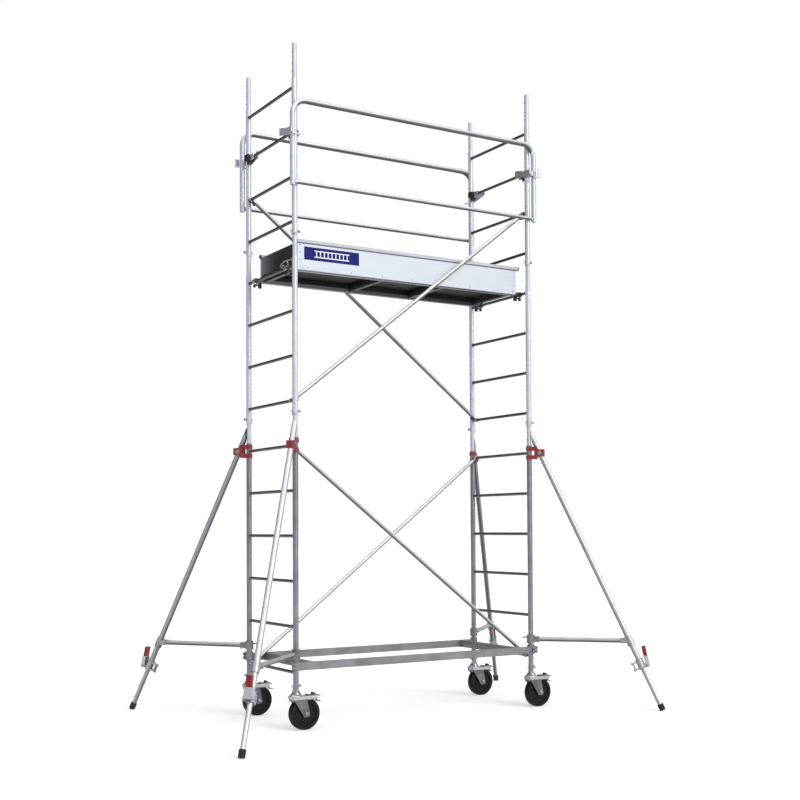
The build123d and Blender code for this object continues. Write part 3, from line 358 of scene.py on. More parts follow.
def platform_material():
    """Aluminium framing painted near-black as shade, with a painted reflection of the floor on its lower lips
    that fades along the bay; the cross members stay dark.
    """
    shader = Shader("platform_steel", Metallic=0.3, Specular_IOR_Level=0.4)
    lines = shader.noise(1.0, 3.0, (1.5, 200, 200))
    clouds = shader.ramp(shader.noise(5.0, 4.0), 0.3, 0.7)
    # Painted shade: the near-black base colour.
    dark = shader.mix(clouds, (0.020, 0.020, 0.022), (0.010, 0.010, 0.011))
    # Painted reflection of the floor, fading from the left end towards the right.
    along = shader.ramp(shader.axis("X"), -0.85, 0.6)
    bright = shader.mix(along, (0.22, 0.22, 0.225), (0.07, 0.07, 0.072))
    crossing = shader.math("LESS_THAN", shader.math("ABSOLUTE", shader.axis("Y")), SIDE_BEAM_START_Y)
    painted_floor_reflection = shader.mix(crossing, bright, (0.028, 0.028, 0.030))
    # The lower lips show the painted reflection, the rest the painted shade.
    lip = shader.ramp(shader.axis("Z"), LIP_TOP_Z - 0.003, LIP_TOP_Z + 0.002, 1.0, 0.0)
    shader.colour(shader.mix(lip, dark, painted_floor_reflection))
    shader.rough(lines, 0.40, 0.58)
    shader.bump(lines, 0.08, 0.0004)
    return shader.material


def plywood_material():
    """Dark phenolic film with a fine grip mesh pressed into it, and painted shade on faces that point down.
    """
    shader = Shader("deck_plywood", Specular_IOR_Level=0.12)
    grain = shader.noise(7.0, 6.0, (0.6, 6.0, 6.0))
    film = shader.mix(shader.ramp(grain, 0.3, 0.7), (0.030, 0.024, 0.021), (0.014, 0.012, 0.011))
    # Painted shade: faces that point down are made near-black.
    below = shader.math("LESS_THAN", shader.axis("Z", "Normal"), -0.5)
    base = shader.mix(below, film, (0.004, 0.004, 0.004))
    scuffs = shader.ramp(shader.noise(16.0, 7.0), 0.58, 0.75, 0.0, 0.35)
    worn = shader.math("MULTIPLY", scuffs, shader.math("SUBTRACT", 1.0, below))
    shader.colour(shader.mix(worn, base, (0.12, 0.11, 0.10)))
    shader.rough(grain, 0.42, 0.60)
    mesh = shader.node("ShaderNodeTexVoronoi", {"Vector": shader.stretched((1, 1, 1)), "Scale": 260.0},
                       feature="DISTANCE_TO_EDGE")
    shader.bump(shader.ramp(mesh.outputs["Distance"], 0.0, 0.12), 0.35, 0.0006)
    return shader.material


MATERIALS = {
    "galvanised": galvanised("galvanised", (0.80, 0.82, 0.86), (0.70, 0.72, 0.76), metallic=0.6,
                             painted_underside_shade=0.10),
    "rail": rail_material("rail", 0.13),
    "guardrail": rail_material("guardrail", 0.13, GUARD_LEG_START_X),
    # The upper and lower end frames are lit and shaded copies of one zinc; the darker lower copy is painted
    # shade.
    "frame": galvanised("frame", (0.92, 0.94, 1.00), (0.86, 0.88, 0.97), metallic=0.35, low=0.22, high=0.34,
                        rung_shade=UPPER_RUNG_SHADE),
    "shaded_frame": galvanised("shaded_frame", (0.38, 0.39, 0.41), (0.28, 0.29, 0.31), metallic=0.7,
                             rung_shade=LOWER_RUNG_SHADE),
    "stay": stay_material(),
    "zinc": galvanised("zinc", (0.52, 0.54, 0.57), (0.34, 0.35, 0.37), low=0.28, high=0.44),
    "fork_steel": fork_material(),
    "weld": galvanised("weld", (0.60, 0.62, 0.65), (0.40, 0.41, 0.43), low=0.3, high=0.5),
    "spigot": spigot_material(),
    "base_steel": galvanised("base_steel", (0.34, 0.35, 0.365), (0.23, 0.235, 0.245), metallic=0.5,
                             low=0.42, high=0.6),
    "platform_steel": platform_material(),
    "black_plastic": plastic("black_plastic", (0.026, 0.026, 0.028), (0.010, 0.010, 0.011)),
    "wheel": plastic("wheel", (0.007, 0.007, 0.008), (0.003, 0.003, 0.0035), 0.45, 0.65, shine=0.2),
    "wheel_disc": plastic("wheel_disc", (0.011, 0.011, 0.012), (0.006, 0.006, 0.007), shine=0.25),
    "rubber": plastic("rubber", (0.018, 0.018, 0.018), (0.008, 0.008, 0.008), 0.6, 0.8, grain=900.0),
    "red_paint": painted("red_paint", (0.28, 0.016, 0.020), (0.20, 0.010, 0.014)),
    "lever": lever_material(),
    "pedal": pedal_material(),
    "board": board_material(),
    "end_board": end_board_material(),
    "plywood": plywood_material(),
    "label": painted("label", (0.012, 0.013, 0.15), (0.010, 0.011, 0.13), 0.50, 0.60, scuffing=0.02,
                     coat=0.0, shine=0.12),
    "white_print": painted("white_print", (0.82, 0.82, 0.84), (0.76, 0.76, 0.78), 0.3, 0.4, scuffing=0.06),
}

LOOKS = {
    "frame": [f"end_frame_{side}_{level}" for side in ("left", "right") for level in LEVELS[1:]],
    "shaded_frame": ["end_frame_left_lower", "end_frame_right_lower"],
    "spigot": ["frame_spigots"],
    "rail": ["diagonal_braces"],
    "guardrail": ["guardrail_front", "guardrail_back"],
    "zinc": ["locking_pins", "caster_stems", "trapdoor_hinges"],
    "base_steel": ["base_frame"],
    "platform_steel": ["platform_frame"],
    "black_plastic": ["brace_latches", "guardrail_latches", "platform_latches", "toe_board_caps"],
    "plywood": ["deck_panel", "trapdoor"],
    "board": ["toe_board_front", "toe_board_back"],
    "end_board": ["end_toe_boards"],
}
BY_CORNER = {
    "fork_steel": ("caster_fork",),
    "pedal": ("brake_pedal",),
    "galvanised": ("outrigger_tube", "outrigger_leg"),
    "stay": ("outrigger_stay",),
    "wheel": ("caster_wheel",),
    "red_paint": ("outrigger_clamp",),
    "lever": ("outrigger_lever",),
    "rubber": ("outrigger_foot",),
}
for look, kinds in BY_CORNER.items():
    LOOKS.setdefault(look, []).extend(f"{kind}_{corner}" for kind in kinds for corner in CORNERS)


def dress(node, material):
    """Puts a material on every slot of a CAD node."""
    piece = NODES[node]
    if not piece.material_slots:
        piece.data.materials.append(material)
    for slot in piece.material_slots:
        slot.material = material


for look, names in LOOKS.items():
    for name in names:
        dress(name, MATERIALS[look])


# ---- mesh building -------------------------------------------------------------
WASHER_THICKNESS = 0.0015


def round_angles(count):
    return [2 * math.pi * i / count for i in range(count)]


def polar(radius, angle, height=0.0):
    return Vector((radius * math.cos(angle), radius * math.sin(angle), height))


class Shapes:
    """Closed shapes gathered into one mesh."""

    def __init__(self):
        self.points = []
        self.faces = []

    def loft(self, rings, closed=False):
        """Skin over rings of equal length, with flat ends unless the rings meet."""
        start = len(self.points)
        count = len(rings[0])
        for ring in rings:
            self.points.extend(ring)
        spans = len(rings) if closed else len(rings) - 1
        for i in range(spans):
            low = start + i * count
            high = start + (i + 1) % len(rings) * count
            for j in range(count):
                k = (j + 1) % count
                self.faces.append((low + j, low + k, high + k, high + j))
        if not closed:
            top = start + (len(rings) - 1) * count
            self.faces.append(tuple(reversed(range(start, start + count))))
            self.faces.append(tuple(range(top, top + count)))

    def lathe(self, place, profile, sides=24):
        """Turned shape about the local Z axis; profile holds (radius, height)."""
        self.loft([[place @ polar(r, a, h) for a in round_angles(sides)] for r, h in profile])

    def ring(self, place, profile, sides=32):
        """Ring about the local Z axis with a closed (radius, height) section."""
        rings = [[place @ polar(r, a, h) for r, h in profile] for a in round_angles(sides)]
        self.loft(rings, closed=True)

    def pipe(self, path, radius, sides=8, closed=False):
        """Round wire along a path; radius is a number or one number for each point."""
        count = len(path)
        radii = radius if isinstance(radius, list) else [radius] * count
        normal = None
        rings = []
        for i, point in enumerate(path):
            ahead = path[(i + 1) % count] if closed or i + 1 < count else point
            behind = path[i - 1] if closed or i else point
            tangent = (ahead - behind).normalized()
            if normal is None:
                normal = tangent.orthogonal().normalized()
            normal = (normal - tangent * normal.dot(tangent)).normalized()
            side = tangent.cross(normal)
            spokes = [normal * math.cos(a) + side * math.sin(a) for a in round_angles(sides)]
            rings.append([point + spoke * radii[i] for spoke in spokes])
        self.loft(rings, closed)

    def bead(self, path, radius, closed=True):
        """Weld bead along a path, with the ripples of a hand weld."""
        ripples = [1 + 0.16 * math.sin(i * 2.4) + random.uniform(-0.05, 0.05) for i in range(len(path))]
        self.pipe(path, [radius * ripple for ripple in ripples], 6, closed)

    def block(self, place, size, chamfer=0.001):
        """Box centred on the local origin with its edges broken."""
        x, y, z = (side / 2 for side in size)
        rings = []
        for height, inset in ((-z, chamfer), (-z + chamfer, 0), (z - chamfer, 0), (z, chamfer)):
            a, b, c = x - inset, y - inset, chamfer
            outline = ((a - c, b), (-a + c, b), (-a, b - c), (-a, -b + c),
                       (-a + c, -b), (a - c, -b), (a, -b + c), (a, b - c))
            rings.append([place @ Vector((u, v, height)) for u, v in outline])
        self.loft(rings)

    def bolt(self, place, across, height):
        """Hexagon head standing on the local XY plane, with a washer under it."""
        r = across / math.sqrt(3)
        washer = ((r * 1.15, 0), (r * 1.22, 0.0004), (r * 1.22, 0.0012), (r * 1.1, WASHER_THICKNESS))
        self.lathe(place, washer)
        head = place @ Matrix.Translation((0, 0, WASHER_THICKNESS))
        self.lathe(head, ((r * 0.97, 0), (r, 0.0006), (r, height * 0.8), (r * 0.86, height)), 6)
        self.lathe(head, ((r * 0.80, height * 0.9), (r * 0.80, height * 1.02), (r * 0.7, height * 1.1)))

    def rivet(self, place, radius):
        """Low domed head on the local XY plane."""
        self.lathe(place, ((radius, -0.0004), (radius, 0.0003), (radius * 0.86, radius * 0.30),
                           (radius * 0.5, radius * 0.45), (radius * 0.12, radius * 0.5)), 16)

    def piece(self, name, body, slot, look, sharp=35):
        """Makes the piece and lets it ride on a CAD body."""
        mesh = bpy.data.meshes.new(name)
        mesh.from_pydata(self.points, [], self.faces)
        shape = bmesh.new()
        shape.from_mesh(mesh)
        bmesh.ops.recalc_face_normals(shape, faces=shape.faces)
        shape.to_mesh(mesh)
        shape.free()
        for polygon in mesh.polygons:
            polygon.use_smooth = True
        mesh.set_sharp_from_angle(angle=math.radians(sharp))
        mesh.materials.append(MATERIALS[look])
        made = bpy.data.objects.new(name, mesh)
        bpy.context.scene.collection.objects.link(made)
        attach(made, body)
        return made


def facing(point, direction, up=(0, 0, 1)):
    """Place at a point whose local Z axis looks along a direction."""
    z = Vector(direction).normalized()
    x = Vector(up).cross(z)
    x = x.normalized() if x.length > 1e-6 else z.orthogonal().normalized()
    y = z.cross(x)
    turn = Matrix((x, y, z)).transposed().to_4x4()
    return Matrix.Translation(Vector(point)) @ turn


# ---- end frames ----------------------------------------------------------------
WELD_R = 0.0022
WELD_PROUD = 0.0010
WELD_GAP = 0.0006


def saddle(tube_r, post_r, count):
    """Line where a tube meets a round post: how far along the post's X, out from its axis, and up."""
    line = []
    for a in round_angles(count):
        along = (tube_r + WELD_PROUD) * math.cos(a)
        up = (tube_r + WELD_PROUD) * math.sin(a)
        line.append((along, math.sqrt(post_r ** 2 - along ** 2) + WELD_GAP, up))
    return line


def make_rung_welds():
    """Fillet weld round both ends of every rung."""
    for side_x, side in ((-1, "left"), (1, "right")):
        welds = Shapes()
        for number in range(RUNG_COUNT):
            for side_y in (-1, 1):
                path = [Vector((side_x * HALF_BAY + along, side_y * (HALF_WIDTH - out), rung_z(number) + up))
                        for along, out, up in saddle(RUNG_R, POST_R, 28)]
                welds.bead(path, WELD_R)
        welds.piece(f"rung_welds_{side}", "tower", "galvanised_tube", "weld", 60)


# ---- base frame ------------------------------------------------------------------
BASE_Z = 0.388
BASE_HEIGHT = 0.048
BASE_DEPTH = 0.030
BASE_CROSS_X = 0.785
SLEEVE_R = 0.025
BASE_WELD_R = 0.0026
LUG_BOLT_Z = (0.382, 0.406)
LUG_BOLT_ACROSS = 0.013
LUG_Y = 0.032
LUG_THICKNESS = 0.024


def rectangle_path(centre, half_a, half_b, along_a, along_b, step=0.004):
    """Points round a rectangle, close enough together for a weld bead."""
    corners = [(-1, -1), (1, -1), (1, 1), (-1, 1)]
    path = []
    for i, (a, b) in enumerate(corners):
        c, d = corners[(i + 1) % 4]
        start = centre + along_a * a * half_a + along_b * b * half_b
        end = centre + along_a * c * half_a + along_b * d * half_b
        steps = max(2, round((end - start).length / step))
        path.extend(start.lerp(end, j / steps) for j in range(steps))
    return path


def make_base_details():
    """Welds of the base frame, and the hexagon bolts through its clamp lugs."""
    welds, bolts = Shapes(), Shapes()
    up = Vector((0, 0, 1))
    for corner in CORNERS:
        side_x, side_y = signs(corner)
        joint = Vector((side_x * BASE_CROSS_X, side_y * (HALF_WIDTH - BASE_DEPTH / 2 - 0.0008), BASE_Z))
        outline = rectangle_path(joint, BASE_DEPTH / 2, BASE_HEIGHT / 2, Vector((1, 0, 0)), up)
        welds.bead(outline, BASE_WELD_R)
        post = post_axis(corner)
        sleeve_x = post.x - side_x * (math.sqrt(SLEEVE_R ** 2 - (BASE_DEPTH / 2) ** 2) + 0.001)
        for y in (-1, 1):
            start = Vector((sleeve_x, post.y + y * BASE_DEPTH / 2, BASE_Z - BASE_HEIGHT / 2))
            line = [start + up * BASE_HEIGHT * i / 14 for i in range(15)]
            welds.bead(line, BASE_WELD_R, closed=False)
        for z in LUG_BOLT_Z:
            y = post.y + side_y * LUG_Y
            outer = facing((post.x + side_x * LUG_THICKNESS, y, z), (side_x, 0, 0))
            bolts.bolt(outer, LUG_BOLT_ACROSS, 0.0065)
            bolts.bolt(facing((post.x, y, z), (-side_x, 0, 0)), LUG_BOLT_ACROSS, 0.0075)
    welds.piece("base_welds", "tower", "base_steel", "base_steel", 60)
    bolts.piece("base_bolts", "tower", "zinc_plated", "zinc")


# ---- toe boards and label --------------------------------------------------------
BOARD_FACE_Y = 0.274
BOTTOM_RIVET_R = 0.0042
BOTTOM_RIVET_UP = 0.014
BOTTOM_RIVETS_X = (-0.81, -0.775, -0.46, -0.23, 0.0, 0.23, 0.46, 0.69, 0.82)
END_RIVET_R = 0.0036
END_RIVET_X = 0.83
END_RIVETS_UP = (0.06, 0.11, 0.155)
LABEL_X = (-0.800, -0.405)
LABEL_Z = (2.922, 3.004)
LABEL_THICKNESS = 0.0010
LABEL_RIM_WIDTH = 0.0020
LABEL_RIM_INSET = 0.0015
LABEL_PROUD_Z = 0.0011
SIGN_PROUD_Z = 0.0012
SIGN_THICKNESS = 0.0005
SIGN_LENGTH = 0.250
SIGN_BAR = 0.0065
SIGN_RAIL_OFFSET = 0.019
SIGN_RUNGS = 9
SIGN_RUNG_PITCH = 0.0275
SIGN_RUNG_LENGTH = 0.0312
CLIP_WIRE_R = 0.0038
CLIP_STANDOFF = 0.006
CLIP_ROOT = 0.002
CLIP_UPPER_YZ = ((-0.040, 2.910), (-0.065, 2.926), (-0.115, 2.934), (-0.205, 2.928))
CLIP_LOWER_YZ = ((-0.080, 2.914), (-0.065, 2.898), (-0.115, 2.888),
                 (-0.155, 2.892), (-0.150, 2.914), (-0.140, 2.932))


def make_board_rivets():
    """Rivets along the bottom and at the ends of both long toe boards."""
    rivets = Shapes()
    for node, side_y in (("toe_board_front", -1), ("toe_board_back", 1)):
        low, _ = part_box(node)
        places = [(x, low.z + BOTTOM_RIVET_UP, BOTTOM_RIVET_R) for x in BOTTOM_RIVETS_X]
        places += [(x, low.z + up, END_RIVET_R) for x in (-END_RIVET_X, END_RIVET_X) for up in END_RIVETS_UP]
        for x, z, radius in places:
            rivets.rivet(facing((x, side_y * BOARD_FACE_Y, z), (0, side_y, 0)), radius)
    rivets.piece("toe_board_rivets", "tower", "aluminium_board", "zinc", 50)


def make_label():
    """Blue label with a raised rim and a plain ladder sign, on the front board."""
    width, height = LABEL_X[1] - LABEL_X[0], LABEL_Z[1] - LABEL_Z[0]
    centre = (sum(LABEL_X) / 2, -BOARD_FACE_Y - 0.0001, sum(LABEL_Z) / 2)
    place = facing(centre, (0, -1, 0))

    def at(x, y, z):
        return place @ Matrix.Translation((x, y, z))

    plate = Shapes()
    plate.block(at(0, 0, LABEL_THICKNESS / 2), (width, height, LABEL_THICKNESS), 0.0003)
    for v in (-1, 1):
        across = at(0, v * (height / 2 - LABEL_RIM_INSET), LABEL_PROUD_Z)
        plate.block(across, (width - 0.001, LABEL_RIM_WIDTH, 0.0006), 0.0002)
        upright = at(v * (width / 2 - LABEL_RIM_INSET), 0, LABEL_PROUD_Z)
        plate.block(upright, (LABEL_RIM_WIDTH, height - 0.001, 0.0006), 0.0002)
    plate.piece("label_plate", "tower", "aluminium_board", "label")
    sign = Shapes()
    for v in (-1, 1):
        rail = at(0, v * SIGN_RAIL_OFFSET, SIGN_PROUD_Z)
        sign.block(rail, (SIGN_LENGTH, SIGN_BAR, SIGN_THICKNESS), 0.0001)
    for i in range(SIGN_RUNGS):
        rung = at((i - (SIGN_RUNGS - 1) / 2) * SIGN_RUNG_PITCH, 0, SIGN_PROUD_Z)
        sign.block(rung, (SIGN_BAR, SIGN_RUNG_LENGTH, SIGN_THICKNESS), 0.0001)
    sign.piece("label_sign", "tower", "aluminium_board", "white_print")


def make_wire_clip():
    """Bent wire catch on the outer face of the left end board."""
    low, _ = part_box("end_toe_boards")
    wire = Shapes()
    for outline in (CLIP_UPPER_YZ, CLIP_LOWER_YZ):
        path = smooth_path([Vector((low.x - CLIP_STANDOFF, y, z)) for y, z in outline], 5)
        ends = [Vector((low.x + CLIP_ROOT, point.y, point.z)) for point in (path[0], path[-1])]
        wire.pipe([ends[0], *path, ends[1]], CLIP_WIRE_R, 8)
    wire.piece("end_board_clip", "tower", "aluminium_board", "spigot", 70)


def smooth_path(points, steps):
    """Catmull-Rom curve through points."""
    path = []
    count = len(points)
    for i in range(count - 1):
        a, b, c, d = (points[max(0, min(count - 1, j))] for j in (i - 1, i, i + 1, i + 2))
        for s in range(steps):
            t = s / steps
            path.append(0.5 * ((2 * b) + (c - a) * t + (2 * a - 5 * b + 4 * c - d) * t * t
                               + (3 * b - a - 3 * c + d) * t ** 3))
    path.append(points[-1])
    return path


# ---- deck ------------------------------------------------------------------------
DECK_TOP_Z = 2.915
SCREW_PROFILE = ((0.0052, 0), (0.0052, 0.0008), (0.0044, 0.0012), (0.0018, 0.0012), (0.0014, 0.0008))
SCREW_INSET_X = 0.020
SCREW_INSET_Y = 0.018
SCREWS_PER_ROW = 5
HATCH_PLATE = (0.090, 0.034, 0.0020)
HATCH_PLATE_FROM_EDGE = 0.055
HATCH_RING = (0.030, 0.011)
HATCH_RING_WIRE_R = 0.0024
HATCH_RIVET_X = 0.039


def make_deck_screws():
    """Three rows of countersunk screws in the fixed deck panel."""
    screws = Shapes()
    low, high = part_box("deck_panel")
    pitch = (high.y - low.y - 2 * SCREW_INSET_Y) / (SCREWS_PER_ROW - 1)
    for x in (low.x + SCREW_INSET_X, (low.x + high.x) / 2, high.x - SCREW_INSET_X):
        for i in range(SCREWS_PER_ROW):
            place = facing((x, low.y + SCREW_INSET_Y + i * pitch, high.z - 0.0006), (0, 0, 1))
            screws.lathe(place, SCREW_PROFILE, 16)
    screws.piece("deck_screws", "tower", "zinc_plated", "zinc")


def make_hatch_ring():
    """Plate with two rivets and a flat finger ring near the trapdoor's free edge."""
    low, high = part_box("trapdoor")
    centre = Vector(((low.x + high.x) / 2, low.y + HATCH_PLATE_FROM_EDGE, DECK_TOP_Z))
    handle = Shapes()
    handle.block(Matrix.Translation(centre + Vector((0, 0, 0.0008))), HATCH_PLATE, 0.0006)
    half_x, half_y = HATCH_RING
    ring = [centre + Vector((half_x * math.cos(a), half_y * math.sin(a), 0.0042)) for a in round_angles(28)]
    handle.pipe(ring, HATCH_RING_WIRE_R, 8, closed=True)
    for side in (-1, 1):
        handle.rivet(facing(centre + Vector((side * HATCH_RIVET_X, 0, 0.0018)), (0, 0, 1)), 0.0032)
    handle.piece("hatch_ring", "trapdoor", "zinc_plated", "zinc")


# ---- guardrails ----------------------------------------------------------------
GUARD_LEG_X = 0.930
GUARD_LEG_Y = 0.379
GUARD_LEG_R = 0.017
GUARD_RAIL_R = 0.0125
GUARD_MIDDLE_RAIL_Z = 3.372
GUARD_BRACKET_WELD_Z = rung_z(12) - 0.026
OUTER_BRACKET_WELD = (GUARD_LEG_X + 0.0155, 0.0090)
INNER_BRACKET_WELD = (GUARD_LEG_X - 0.0112, 0.0133)


def make_guardrail_welds():
    """Welds where the middle rail and the brackets meet the legs."""
    for side_y, name in ((-1, "front"), (1, "back")):
        leg_y = side_y * GUARD_LEG_Y
        welds = Shapes()
        for side_x in (-1, 1):
            path = [Vector((side_x * (GUARD_LEG_X - out), leg_y + along, GUARD_MIDDLE_RAIL_Z + up))
                    for along, out, up in saddle(GUARD_RAIL_R, GUARD_LEG_R, 30)]
            welds.bead(path, WELD_R)
            x, half_gap = OUTER_BRACKET_WELD if side_x == side_y else INNER_BRACKET_WELD
            for y in (leg_y - half_gap, leg_y + half_gap):
                line = [Vector((side_x * x, y, GUARD_BRACKET_WELD_Z + 0.003 * i)) for i in range(12)]
                welds.bead(line, 0.0020, closed=False)
        welds.piece(f"guardrail_welds_{name}", "tower", "galvanised_tube", "weld", 60)


# ---- casters -------------------------------------------------------------------
DISC_FACE = 0.0160
DISC_RINGS = ((0.0705, 0.0035, 0.0030), (0.0520, 0.0025, 0.0016), (0.0340, 0.0030, 0.0040))
DISC_RIBS = 12
DISC_RIB_R = 0.052
DISC_RIB = (0.034, 0.0040, 0.0030)
AXLE_NUT_OFFSET = 0.0355
AXLE_NUT_ACROSS = 0.019
AXLE_NUT_HEIGHT = 0.008


def make_caster_details(corner):
    """Rings and ribs moulded in the wheel's disc, and the nuts of its axle bolt."""
    centre = Vector(JOINTS[f"wheel_spin_{corner}"]["pos_m"])
    disc, nuts = Shapes(), Shapes()
    for side in (-1, 1):
        place = facing(centre, (0, side, 0))
        for radius, width, height in DISC_RINGS:
            section = ((radius - width, DISC_FACE - 0.0005), (radius, DISC_FACE - 0.0005),
                       (radius - width * 0.2, DISC_FACE + height), (radius - width * 0.8, DISC_FACE + height))
            disc.ring(place, section, 64)
        for angle in round_angles(DISC_RIBS):
            spoke = Matrix.Rotation(angle, 4, "Z") @ Matrix.Translation((DISC_RIB_R, 0, DISC_FACE + 0.0006))
            disc.block(place @ spoke, DISC_RIB, 0.0008)
        end = centre + Vector((0, side * AXLE_NUT_OFFSET, 0))
        nuts.bolt(facing(end, (0, side, 0)), AXLE_NUT_ACROSS, AXLE_NUT_HEIGHT)
    disc.piece(f"wheel_disc_{corner}", f"wheel_{corner}", "wheel_black", "wheel_disc")
    nuts.piece(f"axle_nuts_{corner}", f"caster_{corner}", "zinc_plated", "zinc")


# ---- outriggers ------------------------------------------------------------------
LEVER_OFFSET = 0.038
LEVER_DOWN = 0.024
CLAMP_RINGS_ALONG = (-0.031, 0.031)
CLAMP_RING_SECTION = ((0.0238, -0.003), (0.0258, -0.002), (0.0258, 0.002), (0.0238, 0.003))
CLAMP_BOLTS_ALONG = (-0.022, 0.024)
CLAMP_BOLT_OUT = 0.0508
PIVOT_HEAD_SIDE = 0.0254
RED_CLAMP_RUNG = 5
RED_CLAMP_BOLT_SIDE = 0.0229
FOOT_RIDGE_SECTION = ((0.0195, -0.0026), (0.0212, -0.0012), (0.0212, 0.0012), (0.0195, 0.0026))
FOOT_RIDGE_START = 0.006
FOOT_RIDGE_PITCH = 0.009
FOOT_RIDGE_BASE_Z = 0.020


def outrigger_axes(corner):
    """Directions down the tube, outward and sideways, the lever's pivot, and the clamp's middle."""
    down = Vector(JOINTS[f"leg_slide_{corner}"]["axis"]).normalized()
    turn = JOINTS[f"lever_turn_{corner}"]
    side = Vector(turn["axis"]).normalized()
    out = side.cross(down).normalized()
    if out.z < 0:
        out = -out
    pivot = Vector(turn["pos_m"])
    return down, out, side, pivot, pivot - out * LEVER_OFFSET - down * LEVER_DOWN


def make_outrigger_details(corner):
    """Rings and bolts of one outrigger's clamps, and the ridges of its foot."""
    down, out, side, pivot, clamp = outrigger_axes(corner)

    def on_tube(height):
        """Point of the tube's axis at a height above the floor."""
        return clamp + down * ((clamp.z - height) / -down.z)

    steel = Shapes()
    for along in CLAMP_RINGS_ALONG:
        steel.ring(facing(clamp + down * along, down), CLAMP_RING_SECTION, 40)
    for direction in (-side, side):
        steel.bolt(facing(pivot + direction * PIVOT_HEAD_SIDE, direction), 0.013, 0.0035)
    for along in CLAMP_BOLTS_ALONG:
        steel.bolt(facing(clamp - out * CLAMP_BOLT_OUT + down * along, -out), 0.015, 0.0075)
    for direction in (-side, side):
        place = facing(on_tube(rung_z(RED_CLAMP_RUNG)) + direction * RED_CLAMP_BOLT_SIDE, direction)
        steel.bolt(place, 0.0215, 0.0078)
    steel.piece(f"quick_clamp_rings_{corner}", f"outrigger_{corner}", "galvanised_tube", "zinc")
    ridges = Shapes()
    for i in range(3):
        centre = on_tube(FOOT_RIDGE_BASE_Z) - down * (FOOT_RIDGE_START + i * FOOT_RIDGE_PITCH)
        ridges.ring(facing(centre, down), FOOT_RIDGE_SECTION, 40)
    ridges.piece(f"foot_ridges_{corner}", f"leg_{corner}", "black_rubber", "rubber")


for make in (make_rung_welds, make_base_details, make_board_rivets, make_label, make_wire_clip,
             make_deck_screws, make_hatch_ring, make_guardrail_welds):
    make()
for corner in CORNERS:
    make_caster_details(corner)
    make_outrigger_details(corner)


# ---- floor, light and camera ---------------------------------------------------
FLOOR_HALF = 60.0
FLAG_DIRECTION = (-0.48, 0.87, 0.05)
CAMERA_PLACE = (-4.257, -7.108, 1.237)
CAMERA_YAW = 31.28
CAMERA_PITCH = 1.709
CAMERA_ROLL = -0.30
CAMERA_LENS = 55.09
CAMERA_SHIFT_Y = 0.1136


def make_floor():
    """Plain pale floor, glowing a little so that it stays as pale as the surroundings."""
    mesh = bpy.data.meshes.new("floor")
    corners = [(x * FLOOR_HALF, y * FLOOR_HALF, 0) for x, y in ((-1, -1), (1, -1), (1, 1), (-1, 1))]
    mesh.from_pydata(corners, [], [(0, 1, 2, 3)])
    floor = bpy.data.objects.new("floor", mesh)
    bpy.context.scene.collection.objects.link(floor)
    material = bpy.data.materials.new("floor")
    material.use_nodes = True
    surface = material.node_tree.nodes["Principled BSDF"]
    surface.inputs["Base Color"].default_value = (0.88, 0.88, 0.88, 1)
    surface.inputs["Emission Color"].default_value = (1, 1, 1, 1)
    surface.inputs["Emission Strength"].default_value = 0.36
    surface.inputs["Roughness"].default_value = 0.9
    surface.inputs["Specular IOR Level"].default_value = 0.1
    mesh.materials.append(material)


def aim(thing, target):
    """Turns a light or camera to look at a point."""
    direction = Vector(target) - thing.location
    thing.rotation_euler = direction.to_track_quat("-Z", "Y").to_euler()


def sun(name, direction, strength, spread):
    """Sun that shines along a direction; the spread is in degrees."""
    light = bpy.data.lights.new(name, "SUN")
    light.energy = strength
    light.angle = math.radians(spread)
    lamp = bpy.data.objects.new(name, light)
    bpy.context.scene.collection.objects.link(lamp)
    lamp.location = -Vector(direction) * 10
    aim(lamp, (0, 0, 0))


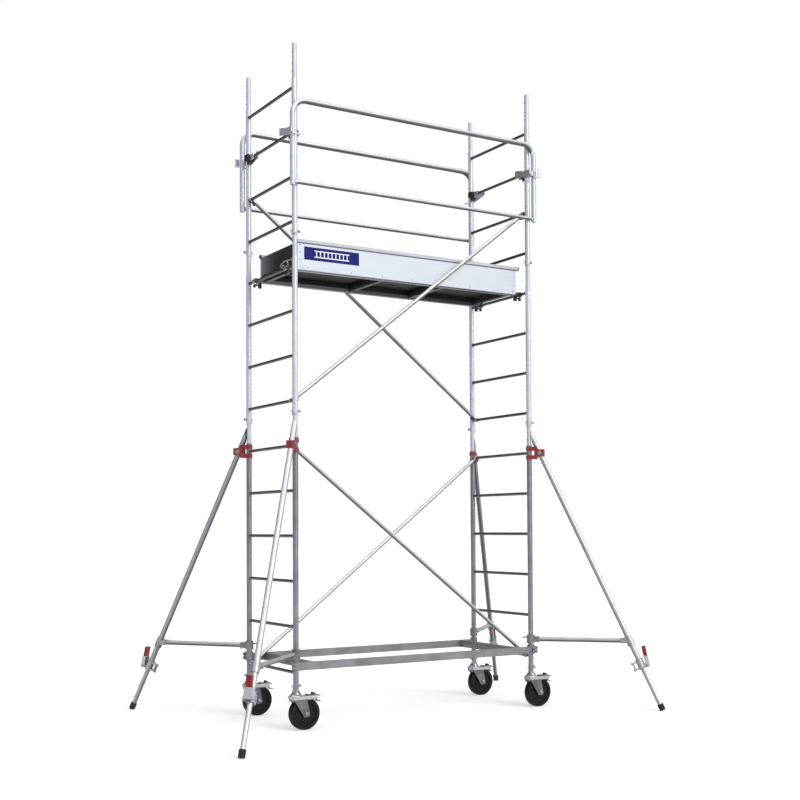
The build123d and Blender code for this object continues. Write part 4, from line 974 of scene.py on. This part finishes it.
def make_light():
    """Soft key from the front, fill from above, and pale surroundings with a black flag behind."""
    sun("key", (-0.25, 0.90, -0.45), 1.6, 35)
    sun("top", (0.1, 0.1, -1.0), 0.9, 80)
    world = bpy.data.worlds.new("studio")
    bpy.context.scene.world = world
    world.use_nodes = True
    tree = world.node_tree
    background = tree.nodes["Background"]
    background.inputs["Strength"].default_value = 0.42
    place = tree.nodes.new("ShaderNodeTexCoord")
    toward_flag = tree.nodes.new("ShaderNodeVectorMath")
    toward_flag.operation = "DOT_PRODUCT"
    toward_flag.inputs[1].default_value = FLAG_DIRECTION
    shade = tree.nodes.new("ShaderNodeMapRange")
    for socket, value in (("From Min", 0.55), ("From Max", 0.85), ("To Min", 1.0), ("To Max", 0.0)):
        shade.inputs[socket].default_value = value
    tree.links.new(place.outputs["Generated"], toward_flag.inputs[0])
    tree.links.new(toward_flag.outputs["Value"], shade.inputs["Value"])
    tree.links.new(shade.outputs["Result"], background.inputs["Color"])
    backdrop = tree.nodes.new("ShaderNodeBackground")
    backdrop.inputs["Color"].default_value = (1, 1, 1, 1)
    backdrop.inputs["Strength"].default_value = 1.0
    path = tree.nodes.new("ShaderNodeLightPath")
    choose = tree.nodes.new("ShaderNodeMixShader")
    tree.links.new(path.outputs["Is Camera Ray"], choose.inputs[0])
    tree.links.new(background.outputs[0], choose.inputs[1])
    tree.links.new(backdrop.outputs[0], choose.inputs[2])
    tree.links.new(choose.outputs[0], tree.nodes["World Output"].inputs["Surface"])


def make_camera():
    """Camera to the left of the front, 1.2 m above the floor, looking almost level."""
    data = bpy.data.cameras.new("camera")
    data.lens = CAMERA_LENS
    data.sensor_width = 36.0
    data.shift_y = CAMERA_SHIFT_Y
    data.clip_end = 200.0
    camera = bpy.data.objects.new("camera", data)
    bpy.context.scene.collection.objects.link(camera)
    camera.location = CAMERA_PLACE
    turn = Matrix.Rotation(math.radians(-CAMERA_YAW), 4, "Z")
    tilt = Matrix.Rotation(math.radians(90 + CAMERA_PITCH), 4, "X")
    roll = Matrix.Rotation(math.radians(CAMERA_ROLL), 4, "Z")
    camera.rotation_euler = (turn @ tilt @ roll).to_euler()
    bpy.context.scene.camera = camera


make_floor()
make_light()
make_camera()
bpy.context.scene.view_settings.view_transform = "Standard"
